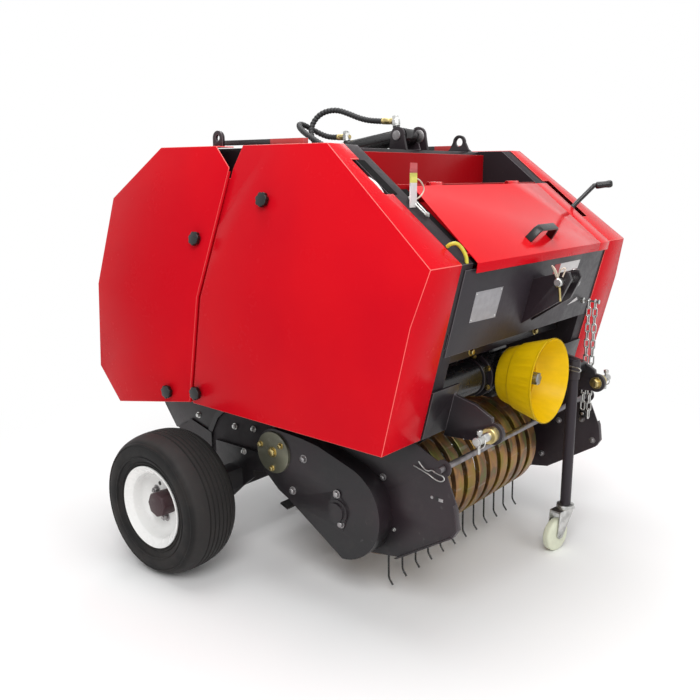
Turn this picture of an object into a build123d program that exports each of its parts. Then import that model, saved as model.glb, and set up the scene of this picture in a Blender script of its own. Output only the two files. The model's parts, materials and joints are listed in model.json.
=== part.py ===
# Round baler for a small tractor's three-point linkage, millimetres.
# X is the width, -Y the tractor side, +Y the bale gate at the rear, Z up from the floor.
# A fixed front frame carries the pickup, gearbox, twine box and axle. The rear gate hangs on
# two pins near the top, and one double-acting cylinder lifts it. Two pneumatic wheels and a
# caster under a sliding leg carry the parked machine.
import math
import os

from build123d import *

# Side plates and frame
plateGap = 744.0            # clear width between the side plates
plateThick = 5.0
flangeWide = 50.0           # folded edge of a side plate
foldLap = 12.0              # its reach under the shield's fold
topZ = 1195.0               # top of the sheet shields
sheetThick = 3.0
seamGap = 6.0               # open joint between fixed frame and gate
runClear = 0.05             # radial clearance of a shaft in its bore

beamRoof = 5.0              # from the shields' top down to the top of the cylinder's cross tube

plateIn = plateGap / 2
plateOut = plateIn + plateThick
flangeOut = plateOut + flangeWide

# Outline points of the sheet shields in the side view, as (Y, Z)
shoulder = (-211.0, topZ)   # top front fold
brow = (-558.0, 920.0)      # fold between the sloping top and the front face
chin = (-453.0, 480.0)      # lower front corner
pivot = (116.0, 1137.0)     # gate hinge, at the root of the open notch
seamFoot = (222.0, 491.0)   # lower end of the joint between frame and gate
notchFront = (88.0, topZ)
notchRear = (184.0, topZ)
gateTop = (418.0, topZ)
gateRump = (614.0, 1049.0)
gateRear = (648.0, 535.0)
gateFoot = (556.0, 434.0)

# The shields stand out from the plates, and lean in above a crease
creaseX = 587.0
creaseZ = 794.0
facetLean = 0.2384          # inward lean of the upper facet, mm per mm of height

# The front shield steps in beside the joint, and its lip runs behind the gate's sheet
stepDeep = 8.0
stepRoot = 12.0             # distance of the step from the middle of the joint
lipReach = 22.0
lipTop = 1110.0
joggleLine = ((-44.0, 1190.0), (130.0, 984.0))    # front edge of the slanting step near the notch
joggleWide = 28.0

# Bale chamber
chamberY = 200.0
chamberZ = 700.0
rollerCircle = 300.0        # radius of the circle of roller axes
rollerRadius = 45.0
rollerAxle = 17.0
frontRollerAngles = (112, 141, 170, 199, 255)
gateRollerAngles = (75, 43, 11, -21, -53)

# Road wheels
wheelY = 262.0
wheelRadius = 205.0
tyreWide = 165.0
wheelX = 640.0
rimRadius = 119.0
rimSeat = 101.0
stubRadius = 14.0
axleSquare = 60.0
hubRadius = 46.0
stubLong = 46.0             # reach of the stub axle past the wheel's middle
capRadius = 37.0
capReach = 54.0
discX = 0.0                 # inner face of the wheel disc, from the wheel's middle

# Pickup
reelY = -240.0
reelZ = 256.0
reelMid = -20.0             # the reel stands a little to the left
reelSpan = plateGap + 33.2  # outer width over the reel's discs
tinePitch = 64.1
tineCount = int(reelSpan / tinePitch)
tineWire = 6.0
tineClear = 6.05            # air between a tine and the bands beside it
tineReach = 248.0
tineElbow = 228.0
barCircle = 95.0
barRadius = 11.0
barCount = 4
reelShaft = 16.0
reelDisc = 118.0
bandRadius = 165.0
bandWide = tinePitch - tineWire - 2 * tineClear
bandThick = 3.0
endPlateThick = 4.0
endPlateLip = 14.0          # outward lip along the lower front edge
drumRadius = 133.0          # round end of the chain guard
guardDeep = 56.0
driveRadius = 66.0
guardRod = (-523.0, 424.0)
guardRodRadius = 8.0

# Power take-off line
ptoZ = 567.0
ptoMouthY = -590.0
bellMouth = 119.0
gearboxFront = -459.0
gearboxRear = -340.0
gearboxHalf = 62.0
gearboxMid = -392.0         # side shaft axis
splineRadius = 17.45
splineTipY = -555.0

# Three-point linkage
lowerX = 316.0
lowerHole = (-595.0, 499.0)
earThick = 12.0
earRadius = 28.0
lowerPinRadius = 11.1
lowerPinLong = 72.0
topHole = (brow[0] - 63.0, brow[1] - 74.0)
topBore = 9.65
topGap = 52.0
topThick = 10.0

# Parking stand
legX = 203.0
legY = -567.0
legRadius = 16.0
legFoot = 136.0
legHead = 590.0
collarWall = 4.0
collarHigh = 56.0
armFoot = 534.0
casterRadius = 50.0
casterWide = 28.0
casterTrail = 45.0
casterHeading = 170.0       # direction of the trail in plan, degrees from +X
forkThick = 3.0

# Chain that hangs from a hook on the front plate
linkWire = 4.5
linkClear = (8.0, 25.0)     # clear width and length of a link
linkGap = 0.3
hookRadius = 3.5
hookTip = -575.0
chainRuns = ((-543.0, 14), (-563.0, 15))   # Y of each strand and its number of links

# Gate cylinder
clevisPin = (-95.0, 1230.0)
rodEye = (400.0, 1153.0)
clevisHalf = 34.0           # inner half width of the bracket at the front
clevisThick = 10.0
barrelRadius = 24.0
rodRadius = 13.0
pinRadius = 13.0
barrelLong = 292.0          # from the front pin to the end of the gland
portFront = 30.0            # ports along the barrel, and the heights of their bosses
portRear = 222.0
bossFront = 35.0
bossRear = 26.0

# Twine box and its lid
trayWallY = -140.0
trayFloorZ = 880.0
trayTopZ = 1180.0
lidTopY = -346.0            # upper edge of the lid, on the line of the slope
hingeLine = (-342.0, 1095.0)
hingeSpans = ((-244.0, -193.0), (172.0, 227.0))
hingePin = 3.0
knuckle = 6.5
lugThick = 5.0
lidHalf = 346.0
lidLeftTop = -331.0
lidLeftLow = -372.0
lidLip = 24.0
guideRadius = 4.0
eyeThick = 10.0
lidLift = 6.0               # height of the lid above the sheet slope
handleX = 52.0
handleDown = 205.0
leverPath = [(447.0, -420.0, 1012.0), (478.0, -480.0, 1085.0), (502.0, -520.0, 1092.0)]
leverRadius = 7.0

# Round knobs that hold the shields
knobRadius = 20.0
knobGroove = 3.5
knobLobes = 7
knobNeck = 5.0
knobHigh = 13.0


def prismX(points, x0, x1):
    """Solid of a (Y, Z) outline from x0 to x1."""
    wire = Polyline([(x0, y, z) for y, z in points], close=True)
    return extrude(make_face(wire), amount=x1 - x0, dir=(1, 0, 0))


def prismY(points, y0, y1):
    """Solid of an (X, Z) outline from y0 to y1."""
    wire = Polyline([(x, y0, z) for x, z in points], close=True)
    return extrude(make_face(wire), amount=y1 - y0, dir=(0, 1, 0))


def block(x0, x1, y0, y1, z0, z1):
    return Pos((x0 + x1) / 2, (y0 + y1) / 2, (z0 + z1) / 2) * Box(x1 - x0, y1 - y0, z1 - z0)


def rodX(x0, x1, y, z, radius):
    return Pos((x0 + x1) / 2, y, z) * Rot(0, 90, 0) * Cylinder(radius, x1 - x0)


def rodY(y0, y1, x, z, radius):
    return Pos(x, (y0 + y1) / 2, z) * Rot(90, 0, 0) * Cylinder(radius, y1 - y0)


def rodZ(z0, z1, x, y, radius):
    return Pos(x, y, (z0 + z1) / 2) * Cylinder(radius, z1 - z0)


def mirrored(shape):
    return mirror(shape, about=Plane.YZ)


def group(solids):
    return Compound(children=list(solids))


def inset(points, distances):
    """Move each edge of an outline (edge i runs from point i to i + 1) inwards by its distance."""
    count = len(points)
    area = sum(points[i][0] * points[(i + 1) % count][1] - points[(i + 1) % count][0] * points[i][1]
               for i in range(count))
    turn = 1.0 if area > 0 else -1.0
    lines = []
    for i in range(count):
        (y0, z0), (y1, z1) = points[i], points[(i + 1) % count]
        long = math.hypot(y1 - y0, z1 - z0)
        ny, nz = -turn * (z1 - z0) / long, turn * (y1 - y0) / long
        lines.append((ny, nz, ny * y0 + nz * z0 + distances[i]))
    moved = []
    for i in range(count):
        a1, b1, c1 = lines[i - 1]
        a2, b2, c2 = lines[i]
        det = a1 * b2 - a2 * b1
        moved.append(((c1 * b2 - c2 * b1) / det, (a1 * c2 - a2 * c1) / det))
    return moved


def polar(centre, radius, degrees):
    turn = math.radians(degrees)
    return (centre[0] + radius * math.cos(turn), centre[1] + radius * math.sin(turn))


def arcPoints(centre, radius, start, end, steps):
    return [polar(centre, radius, start + (end - start) * i / steps) for i in range(steps + 1)]


def facetBody(shrink):
    """Space inside the leaning upper facet and the upright lower facet of the right shield."""
    high = topZ + 40
    low = 380.0
    lean = shrink * math.hypot(1, facetLean)
    topX = creaseX - facetLean * (high - creaseZ)
    outline = [(plateOut, low), (creaseX - shrink, low), (creaseX - lean, creaseZ),
               (topX - lean, high), (plateOut, high)]
    return prismY(outline, -700.0, 700.0)


def seamAt(z, shift):
    """Point of the joint between frame and gate at height z, moved to the rear by shift."""
    share = (pivot[1] - z) / (pivot[1] - seamFoot[1])
    return (pivot[0] + share * (seamFoot[0] - pivot[0]) + shift, z)


def seamPoint(z, side):
    """Edge of the frame (-1) or of the gate (+1) along the joint at height z."""
    return seamAt(z, side * seamGap / 2)


def shield(outline, folded, step=None):
    """Sheet shield: side face and folded edges; folded says which edges carry a fold."""
    outer = prismX(outline, flangeOut, creaseX + 20) & facetBody(0)
    hollow = inset(outline, [sheetThick if fold else -40.0 for fold in folded])
    inner = prismX(hollow, flangeOut - 10, creaseX + 20) & facetBody(sheetThick)
    if step:
        outer, inner = outer - step(0.0), inner - step(sheetThick)
    return outer - inner


def stepCut(skin):
    """What the step beside the joint takes from a body that lies skin below the sheet's face."""
    reach = 60.0
    root = -stepRoot - skin
    low, high = seamFoot[1] - reach, pivot[1] + 13.0
    strip = [seamAt(high, root), seamAt(high, reach), seamAt(low, reach), seamAt(low, root)]
    cut = prismX(strip, flangeOut - reach, creaseX + reach) - facetBody(stepDeep + skin)
    # the slanting joggle that leads into it across the upper facet
    (y0, z0), (y1, z1) = joggleLine
    start = Vector(creaseX - facetLean * (z0 - creaseZ), y0, z0)
    along = Vector(creaseX - facetLean * (z1 - creaseZ), y1, z1) - start
    across = Vector(1, 0, facetLean).cross(along).normalized()
    shift = -skin * math.tan(math.atan(stepDeep / joggleWide) / 2)
    ramp = Polyline([(shift, -skin), (joggleWide + shift, -stepDeep - skin),
                     (300.0, -stepDeep - skin), (300.0, reach), (shift, reach)], close=True)
    ramp = extrude(make_face(ramp), amount=along.length + 2 * reach, dir=(0, 0, 1))
    place = Plane(origin=start - along.normalized() * reach, x_dir=across, z_dir=along.normalized())
    return cut + place * ramp


def seamLip():
    """Lip of the front shield that runs behind the gate's sheet."""
    strip = [seamAt(lipTop, -stepRoot), seamAt(lipTop, lipReach), seamAt(seamFoot[1], lipReach),
             seamAt(seamFoot[1], -stepRoot)]
    lip = prismX(strip, flangeOut, creaseX + 20) & facetBody(stepDeep)
    return lip - facetBody(stepDeep + sheetThick)


# Fixed frame
crossY = gearboxMid - 8.0
crossHigh = 50.0            # front cross tube, on the gearbox's bracket
crossFoot = ptoZ + gearboxHalf + 11.0
panelTop = brow[1] - 15.0
panelFoot = crossFoot + crossHigh + 1.0
pickupClear = tineReach + 12.0
reelCentre = (reelY, reelZ)
earRound = 26.0
pivotPin = 12.0
panelGap = 22.0             # dark gap between the front plate and the post's folded edge
panelHalf = flangeOut - panelGap
postSlot = (panelHalf + 5.0, panelFoot + 40.0)    # X and Z of the slot in the post
hookX = panelHalf - 59.0    # hook of the lift chain on the front plate
hookZ = panelFoot + 51.0
gateWaist = (wheelY + 88.0, wheelRadius + 173.0)  # lower front edge of the gate's side plates
gateHeel = (wheelY + 130.0, wheelRadius + 96.0)


def sidePlate():
    """Right side plate of the frame, with its folded edges, hinge ear and axle window."""
    plateTop = topZ - sheetThick
    postFoot = chin[1] - 4.0
    reliefRadius = earRound + seamGap
    folded = inset([shoulder, brow, chin, (200.0, chin[1]), (200.0, topZ)],
                   [sheetThick, sheetThick, 0.0, 0.0, sheetThick])
    lowFront = (frontAt(postFoot, sheetThick), postFoot)
    outline = [folded[0], folded[1], lowFront,
               (lowFront[0] + 45.0, chin[1] - 40.0),
               (reelY + 248.0, chin[1] - 40.0), (reelY + 256.0, reelZ + 134.0),
               (wheelY - 202.0, wheelRadius + 47.0), (wheelY - 122.0, wheelRadius + 36.0),
               (gateHeel[0] - 20.0, wheelRadius + 36.0), (gateHeel[0] - seamGap, gateHeel[1] - 36.0),
               (gateHeel[0] - seamGap, gateHeel[1] - 3.0), (gateWaist[0] - seamGap, gateWaist[1] - 3.0),
               seamPoint(seamFoot[1], -1), seamPoint(pivot[1] - 37.0, -1),
               (pivot[0] - 56.0, pivot[1]), (pivot[0] - 56.0, plateTop)]
    plate = prismX(outline, plateIn, plateOut)
    plate -= rodX(plateIn - 1, plateOut + 1, reelY, reelZ, pickupClear)
    plate -= rodX(plateIn - 1, plateOut + 1, pivot[0], pivot[1], reliefRadius)
    # folded edge along the slope and the front
    inner = inset(outline, [plateThick, plateThick] + [0.0] * (len(outline) - 2))
    strip = [outline[0], outline[1], outline[2], (inner[2][0], outline[2][1]), inner[1], inner[0]]
    plate += prismX(strip, plateOut, flangeOut + foldLap)
    y = frontAt(postSlot[1])
    plate -= block(postSlot[0] - 3.0, postSlot[0] + 3.0, y - 20.0, y + 20.0, postSlot[1] - 19.0,
                   postSlot[1] + 19.0)
    # folded top edge that carries the strut's clevis
    plate += block(plateOut, flangeOut, outline[0][0], pivot[0] - 56.0, outline[0][1] - plateThick,
                   outline[0][1])
    # hinge ear outside the gate plate, with the hinge pin
    ear = [(pivot[0] + y, pivot[1] + z) for y, z in
           ((-76.0, -37.0), (-56.0, -77.0), (34.0, -27.0), (34.0, 23.0), (-56.0, 33.0))]
    x0 = plateOut + 2.0
    plate += prismX(ear, x0, x0 + 8.0)
    plate += block(plateOut, x0, pivot[0] - 72.0, pivot[0] - 60.0, pivot[1] - 37.0, pivot[1] + 13.0)
    plate += rodX(plateIn - 6.0, x0, pivot[0], pivot[1], pivotPin)
    return plate


def frontPlate():
    """Front cover between the posts, on the front face of the shields."""
    skin = sheetThick
    outline = [(frontAt(z, depth), z) for z, depth in
               ((panelTop, 0.0), (panelFoot, 0.0), (panelFoot, skin), (panelTop, skin))]
    return prismX(outline, -panelHalf, panelHalf)


def twineTray():
    """Twine box: rear wall, floor and front lip between the side plates."""
    wall = 3.0
    frontY = frontAt(trayFloorZ) + 12.0
    rest = lidLift - sheetThick
    outline = [(trayWallY, trayTopZ), (trayWallY, trayFloorZ), (frontY, trayFloorZ),
               (frontY, slopeZ(frontY, rest)), (frontY + wall, slopeZ(frontY + wall, rest)),
               (frontY + wall, trayFloorZ + wall), (trayWallY - wall, trayFloorZ + wall),
               (trayWallY - wall, trayTopZ)]
    tray = prismX(outline, -plateIn, plateIn)
    # rail behind the lid's upper edge, with a lug at each end of both hinge pins
    tray += block(-plateIn, plateIn, -331.0, -327.0, 1050.0, 1096.0)
    for x0, x1 in hingeSpans:
        for lug in (x0 - lugThick - 1, x1 + 1):
            tray += block(lug, lug + lugThick, hingeLine[0], -331.0, hingeLine[1] - knuckle,
                          hingeLine[1] - 1)
            tray += rodX(lug, lug + lugThick, hingeLine[0], hingeLine[1], knuckle)
        tray += rodX(x0 - 2, x1 + 2, hingeLine[0], hingeLine[1], hingePin)
    return tray


def slopeZ(y, lift=0.0):
    """Height at y of the shields' sloping top, or of the plane that lies lift above it."""
    slope = (shoulder[1] - brow[1]) / (shoulder[0] - brow[0])
    return shoulder[1] + (y - shoulder[0]) * slope + lift * math.hypot(1, slope)


def frontAt(z, depth=0.0):
    """Y at height z of the shields' front face, or of the plane that lies depth behind it."""
    slope = (chin[0] - brow[0]) / (brow[1] - chin[1])
    return brow[0] + (brow[1] - z) * slope + depth * math.hypot(1, slope)


def topBeam():
    """Cross tube behind the twine box, with the cylinder's clevis and a lifting eye."""
    topY, topPlate = clevisPin[0], topZ - beamRoof
    beam = block(-plateIn, plateIn, topY - 30, topY + 30, topPlate - 50, topPlate)
    beam -= block(-plateIn - 1, plateIn + 1, topY - 26, topY + 26, topPlate - 46, topPlate - 4)
    cheek = [(topY - 30, topPlate), (topY - 14, clevisPin[1] + 4), (topY + 14, clevisPin[1] + 4),
             (topY + 30, topPlate)]
    for side in (-1, 1):
        x0 = side * clevisHalf if side > 0 else -clevisHalf - clevisThick
        plate = prismX(cheek, x0, x0 + clevisThick)
        plate += rodX(x0, x0 + clevisThick, clevisPin[0], clevisPin[1], pinRadius + 8)
        beam += plate
    beam += rodX(-clevisHalf - clevisThick - 4, clevisHalf + clevisThick + 4,
                 clevisPin[0], clevisPin[1], pinRadius)
    return beam


def liftingEye(x, y, z, rise, outer, hole, foot):
    """Upright flat eye in the YZ plane on a foot at height z."""
    half = eyeThick / 2
    eye = rodX(x - half, x + half, y, z + rise, outer)
    eye += prismX([(y - foot, z), (y + foot, z), (y + (foot + outer) / 2, z + 8), (y + outer, z + rise),
                   (y - outer, z + rise), (y - (foot + outer) / 2, z + 8)], x - half, x + half)
    return eye - rodX(x - half - 1, x + half + 1, y, z + rise, hole)


def crossBeam():
    """Front cross tube between the posts that carries gearbox, link ears and stand."""
    wall = 5.0
    y0, y1, top = crossY - 30.0, crossY + 30.0, crossFoot + crossHigh
    beam = block(-plateIn, plateIn, y0, y1, crossFoot, top)
    beam -= block(-plateIn - 1, plateIn + 1, y0 + wall, y1 - wall, crossFoot + wall, top - wall)
    return beam


def axleBeam():
    """Square axle tube with stub shafts and the two brackets that hold it."""
    half = axleSquare / 2
    reach = wheelX - 110.0
    beam = block(-reach, reach, wheelY - half, wheelY + half, wheelRadius - half,
                 wheelRadius + half)
    for side in (-1, 1):
        stub = rodX(reach, wheelX + stubLong, wheelY, wheelRadius, stubRadius)
        hanger = [(wheelY + y, wheelRadius + z) for y, z in
                  ((-122.0, 95.0), (-122.0, 36.0), (-78.0, 33.0), (-78.0, 9.0), (-25.0, -35.0),
                   (18.0, -75.0), (56.0, -75.0), (88.0, -15.0), (88.0, 95.0))]
        bracket = prismX(hanger, plateOut, plateOut + 8.0)
        one = stub + bracket
        beam += one if side > 0 else mirrored(one)
    return beam


def gearbox():
    """Bevel gearbox behind the power take-off guard, with its side tube to the left plate."""
    z0, z1 = ptoZ - gearboxHalf, ptoZ + gearboxHalf
    box = block(-50.0, 70.0, gearboxFront + 20, gearboxRear, z0, z1)
    box += rodY(gearboxFront, gearboxFront + 20, 0.0, ptoZ, 52.0)
    box += rodX(-66.0, -50.0, gearboxMid, ptoZ, 62.0)
    box += rodX(-plateIn, -66.0, gearboxMid, ptoZ, 48.0)
    box += block(-40.0, 60.0, gearboxFront + 40, gearboxRear - 10, z1, crossFoot)
    return box - rodY(gearboxFront - 1, gearboxFront + 60, 0.0, ptoZ, splineRadius + runClear)


def ptoGuard():
    """Stepped plastic bell around the input shaft."""
    wall = 3.0
    outer = [(0.0, gearboxFront), (72.0, gearboxFront), (78.0, -462.0), (91.0, -503.0),
             (95.0, -506.0), (bellMouth, ptoMouthY), (0.0, ptoMouthY)]
    inner = [(0.0, gearboxFront - 4), (68.0, gearboxFront - 4), (75.0, -465.0), (88.0, -505.0),
             (92.0, -508.0), (bellMouth - wall, ptoMouthY - 1), (0.0, ptoMouthY - 1)]
    shapes = []
    for points in (outer, inner):
        wire = Polyline([(r, y, 0.0) for r, y in points], close=True)
        shapes.append(revolve(make_face(wire), axis=Axis.Y))
    bell = shapes[0] - shapes[1]
    bell -= rodY(gearboxFront - 10, gearboxFront + 10, 0.0, 0.0, splineRadius + 8)
    return Pos(0, 0, ptoZ) * bell


def ptoShaft():
    """Six-spline input shaft."""
    shaft = rodY(splineTipY, gearboxFront + 50, 0.0, ptoZ, splineRadius)
    for i in range(6):
        groove = block(-4.0, 4.0, splineTipY - 1, splineTipY + 76, splineRadius - 3, splineRadius + 3)
        shaft -= Pos(0, 0, ptoZ) * Rot(0, i * 60, 0) * groove
    return shaft


def topLinkClevis():
    """Two cheeks with a bored boss each, for the tractor's top link."""
    y, z = topHole
    cheek = [(frontAt(z + 2.0), z + 2.0), (frontAt(z - 123.0), z - 123.0), (y + 0.0, z - 50.0),
             (y - 27.0, z + 8.0), (y - 20.0, z + 27.0), (y - 8.0, z + 28.0)]
    solids = []
    for side in (-1, 1):
        x0 = topGap / 2 if side > 0 else -topGap / 2 - topThick
        plate = prismX(cheek, x0, x0 + topThick)
        plate -= rodX(x0 - 1, x0 + topThick + 1, y, z, topBore)
        solids.append(plate)
    return group(solids)


def lowerLink():
    """Right link ear on its base plate against the post, with its outward pin."""
    y, z = lowerHole
    x0 = lowerX - earThick / 2
    footZ, headZ, base = z - 17.0, z + 107.0, 8.0
    ear = [(frontAt(headZ - 20), headZ - 20), (y + 107.0, z + 78.0), (y + 51.0, z + 64.0),
           (y + 5.0, z + 39.0), (y, z), (y + 12.0, z - 27.0), (frontAt(footZ), footZ - 16)]
    plate = prismX(ear, x0, x0 + earThick)
    foot = [(frontAt(at, sheetThick - deep), at) for at, deep in
            ((headZ, base), (footZ, base), (footZ, 0.0), (headZ, 0.0))]
    plate += prismX(foot, x0 - 6, flangeOut - 1)
    plate += rodX(x0, x0 + earThick, y, z, earRadius)
    plate += rodX(x0 + earThick, x0 + earThick + 8, y, z, lowerPinRadius + 8)
    plate += rodX(x0 + earThick, x0 + earThick + 8 + lowerPinLong, y, z, lowerPinRadius)
    return plate


def standBracket():
    """Arm from the right link ear to the collar that guides the stand leg."""
    z1 = legHead - 4.0
    z0 = z1 - collarHigh
    outer = legRadius + collarWall
    collar = rodZ(z0, z1, legX, legY, outer)
    arm = block(legX, lowerX - earThick / 2, legY + 8, legY + 20, armFoot, armFoot + 30)
    return (collar + arm) - rodZ(z0 - 1, z1 + 1, legX, legY, legRadius + runClear)


def standLeg():
    return rodZ(legFoot, legHead, legX, legY, legRadius)


casterTurn = math.radians(casterHeading)
casterX = legX + casterTrail * math.cos(casterTurn)
casterY = legY + casterTrail * math.sin(casterTurn)


def casterFork():
    """Swivelling fork: top plate, two cheeks and the wheel bolt, drawn along +X then turned."""
    top = legFoot - 0.3
    half = casterWide / 2 + 2.0
    fork = rodZ(top - 10, top, 0.0, 0.0, 26.0)
    fork += block(-24.0, casterTrail + 6, -half - forkThick, half + forkThick, top - 16, top - 10)
    cheek = [(-22.0, top - 10), (casterTrail + 6, top - 10), (casterTrail + 14, 50.0),
             (casterTrail, 38.0), (casterTrail - 14, 46.0)]
    for y0 in (-half - forkThick, half):
        fork += prismY(cheek, y0, y0 + forkThick)
    fork += rodY(-half - forkThick - 5, half + forkThick + 5, casterTrail, casterRadius, 6.0)
    return Pos(legX, legY, 0) * Rot(0, 0, casterHeading) * fork


def casterWheel():
    half = casterWide / 2
    profile = [(6.0 + runClear, -half), (26.0, -half), (44.0, -half + 1), (casterRadius, -8.0),
               (casterRadius, 8.0), (44.0, half - 1), (26.0, half), (6.0 + runClear, half)]
    wire = Polyline([(r, y, 0.0) for r, y in profile], close=True)
    wheel = revolve(make_face(wire), axis=Axis.Y)
    return Pos(legX, legY, 0) * Rot(0, 0, casterHeading) * Pos(casterTrail, 0, casterRadius) * wheel


def chainLink():
    """Round-wire link that stands along Z in the XZ plane."""
    wide, long = linkClear
    path = SlotOverall(long + linkWire, wide + linkWire).wire()
    start = Plane(origin=path @ 0, z_dir=path % 0)
    return Rot(90, 0, 0) * Rot(0, 0, 90) * sweep(start * Circle(linkWire / 2), path=path)


def liftChain():
    """Two strands of links on a hook that stands out from the front plate."""
    root = frontAt(hookZ + 9.0) - linkGap
    hook = rodY(hookTip, root, hookX, hookZ, hookRadius) + rodY(root - 8, root, hookX, hookZ, 9.0)
    hook += rodY(hookTip, hookTip + 4, hookX, hookZ, 7.0)
    solids = [hook]
    link = chainLink()
    for y, count in chainRuns:
        z = hookZ + hookRadius + linkGap - linkClear[1] / 2
        for i in range(count):
            solids.append(Pos(hookX, y, z) * Rot(0, 0, 90 * (i % 2)) * link)
            z -= linkClear[1] - linkGap
    return group(solids)


def twineGuide():
    """Bent tube that leads the twine out over the left post."""
    slope = (shoulder[1] - brow[1]) / (shoulder[0] - brow[0])
    ny, nz = -slope / math.hypot(1, slope), 1 / math.hypot(1, slope)

    def above(x, y, lift):
        return (x, y + ny * lift, slopeZ(y, -sheetThick) + nz * lift)

    path = FilletPolyline(above(-420.0, -511.0, 0.3), above(-420.0, -511.0, 15.0),
                          above(-408.0, -531.0, 19.0), above(-397.0, -549.0, 15.0),
                          above(-397.0, -549.0, 0.3), radius=7.0)
    return sweep(Plane(origin=path @ 0, z_dir=path % 0) * Circle(guideRadius), path=path)


# Pickup
endPlateX = flangeOut
endPlateOutline = [(-434.0, 474.0), (-523.0, 431.0), (-568.0, 329.0), (-575.0, 279.0),
                   (-562.0, 257.0), (-399.0, 152.0), (-250.0, 128.0), (-60.0, 246.0),
                   (46.0, 322.0), (52.0, 420.0), (0.0, 474.0)]
driveCentre = (-10.0, 368.0)


def pickupPlate():
    """Right end plate of the pickup, a flat cheek outside the posts."""
    plate = prismX(endPlateOutline, endPlateX, endPlateX + endPlateThick)
    plate += rodX(endPlateX, endPlateX + endPlateThick, guardRod[0], guardRod[1], guardRodRadius + 14)
    plate -= rodX(endPlateX - 1, endPlateX + endPlateThick + 1, guardRod[0], guardRod[1],
                  guardRodRadius)
    plate -= rodX(endPlateX - 1, endPlateX + endPlateThick + 1, reelY, reelZ, reelShaft + runClear)
    first, last = 2, 5      # corners at the ends of the lip along the lower front edge
    inner = inset(endPlateOutline, [endPlateThick if first <= i < last else 0.0
                                    for i in range(len(endPlateOutline))])
    lip = endPlateOutline[first:last + 1] + inner[first:last + 1][::-1]
    plate += prismX(lip, endPlateX + endPlateThick, endPlateX + endPlateThick + endPlateLip)
    # stub that carries the pickup on the side plate
    return plate + rodX(plateOut, endPlateX, 32.0, 408.0, 12.0)


def chainGuard():
    """Cover of the pickup's chain on the left end plate, with the shaft's bearing housing."""
    x0 = endPlateX + endPlateThick
    face = x0 + guardDeep
    outline = arcPoints(reelCentre, drumRadius, 105.0, 265.0, 24)
    outline += [(-56.0, 244.0), (-24.0, 258.0), (30.0, 303.0)]
    outline += arcPoints(driveCentre, driveRadius, -30.0, 90.0, 10) + [(-109.0, 427.0), (-169.0, 418.0)]
    guard = prismX(outline, x0, face)
    guard -= rodX(x0 - 1, x0 + 40, reelY, reelZ, reelShaft + 4)
    guard += rodX(face, face + 9, driveCentre[0], driveCentre[1], 59.0)
    # pressed housing with two ears, on the line of its bolts
    lean, spread, half, ear, pitch = 80.0, 60.0, 34.0, 13.0, 41.0
    for turn in (lean, lean + 180.0):
        tip = polar(reelCentre, pitch, turn)
        wing = [polar(reelCentre, half, turn + spread), polar(tip, ear, turn + spread),
                polar(tip, ear, turn - spread), polar(reelCentre, half, turn - spread)]
        guard += prismX(wing, face, face + 5) + rodX(face, face + 5, tip[0], tip[1], ear)
    guard += rodX(face, face + 10, reelY, reelZ, half) + rodX(face, face + 18, reelY, reelZ, 26.0)
    return mirrored(guard)


def bandOutline(offset):
    """Path of a pickup band: rear tail, round the front, and the lower tail."""
    radius = bandRadius + offset
    start, end = 90.0, 290.0
    arc = arcPoints(reelCentre, radius, start, end, 20)
    tailTop = (arc[0][0] + 234.0, arc[0][1])
    turn = math.radians(end)
    tailLow = (arc[-1][0] - math.sin(turn) * 230.0, arc[-1][1] + math.cos(turn) * 230.0)
    return [tailTop] + arc + [tailLow]


def pickupBands():
    """Bands between the tines, tied together by a bar behind the upper and the lower tails."""
    first = reelMid - (tineCount / 2 - 1) * tinePitch
    outline = bandOutline(0.0) + bandOutline(-bandThick)[::-1]
    bands = None
    for i in range(tineCount - 1):
        x = first + i * tinePitch
        band = prismX(outline, x - bandWide / 2, x + bandWide / 2)
        bands = band if bands is None else bands + band
    top = bandOutline(-bandThick)[0]
    low, outerLow = bandOutline(-bandThick)[-1], bandOutline(0.0)[-1]
    ny, nz = (low[0] - outerLow[0]) / bandThick, (low[1] - outerLow[1]) / bandThick
    wide, thick = 30.0, 6.0
    bands += block(-endPlateX, endPlateX, top[0] - 28, top[0], top[1] - 6, top[1])
    bands += prismX([low, (low[0] - nz * wide, low[1] + ny * wide),
                     (low[0] - nz * wide + ny * thick, low[1] + ny * wide + nz * thick),
                     (low[0] + ny * thick, low[1] + nz * thick)], -endPlateX, endPlateX)
    return bands


def pickupReel():
    """Shaft, two discs, four bars and their spring tines; cam-folded tines lie inside."""
    x0, x1 = reelMid - reelSpan / 2, reelMid + reelSpan / 2
    reel = rodX(-endPlateX - endPlateThick - 30, endPlateX + endPlateThick + 14, reelY, reelZ,
                reelShaft)
    for x in (x0, x1 - 5):
        reel += rodX(x, x + 5, reelY, reelZ, reelDisc)
    # bar angle, and the tines' elbow and tip as (radius, angle) about the reel
    poses = [(-133.0, (tineElbow, -111.3), (tineReach, -112.8)),
             (-43.0, (135.0, -77.0), (148.0, -91.0)),
             (47.0, (135.0, 13.0), (148.0, -1.0)),
             (137.0, (135.0, 103.0), (148.0, 89.0))]
    for angle, elbow, tip in poses[:barCount]:
        y, z = polar(reelCentre, barCircle, angle)
        reel += rodX(x0, x1, y, z, barRadius)
    firstTine = reelMid - (tineCount - 1) / 2 * tinePitch
    tines = []
    for angle, elbow, tip in poses[:barCount]:
        root = polar(reelCentre, barCircle, angle)
        for i in range(tineCount):
            x = firstTine + i * tinePitch
            path = Polyline([(x, *root), (x, *polar(reelCentre, *elbow)),
                             (x, *polar(reelCentre, *tip))])
            start = Plane(origin=path @ 0, z_dir=path % 0)
            tines.append(sweep(start * Circle(tineWire / 2), path=path, transition=Transition.RIGHT))
    for tine in tines:
        reel += tine
    return reel


def windGuardRod():
    reach = endPlateX + endPlateThick + 20
    return rodX(-reach, reach, guardRod[0], guardRod[1], guardRodRadius)


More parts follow.
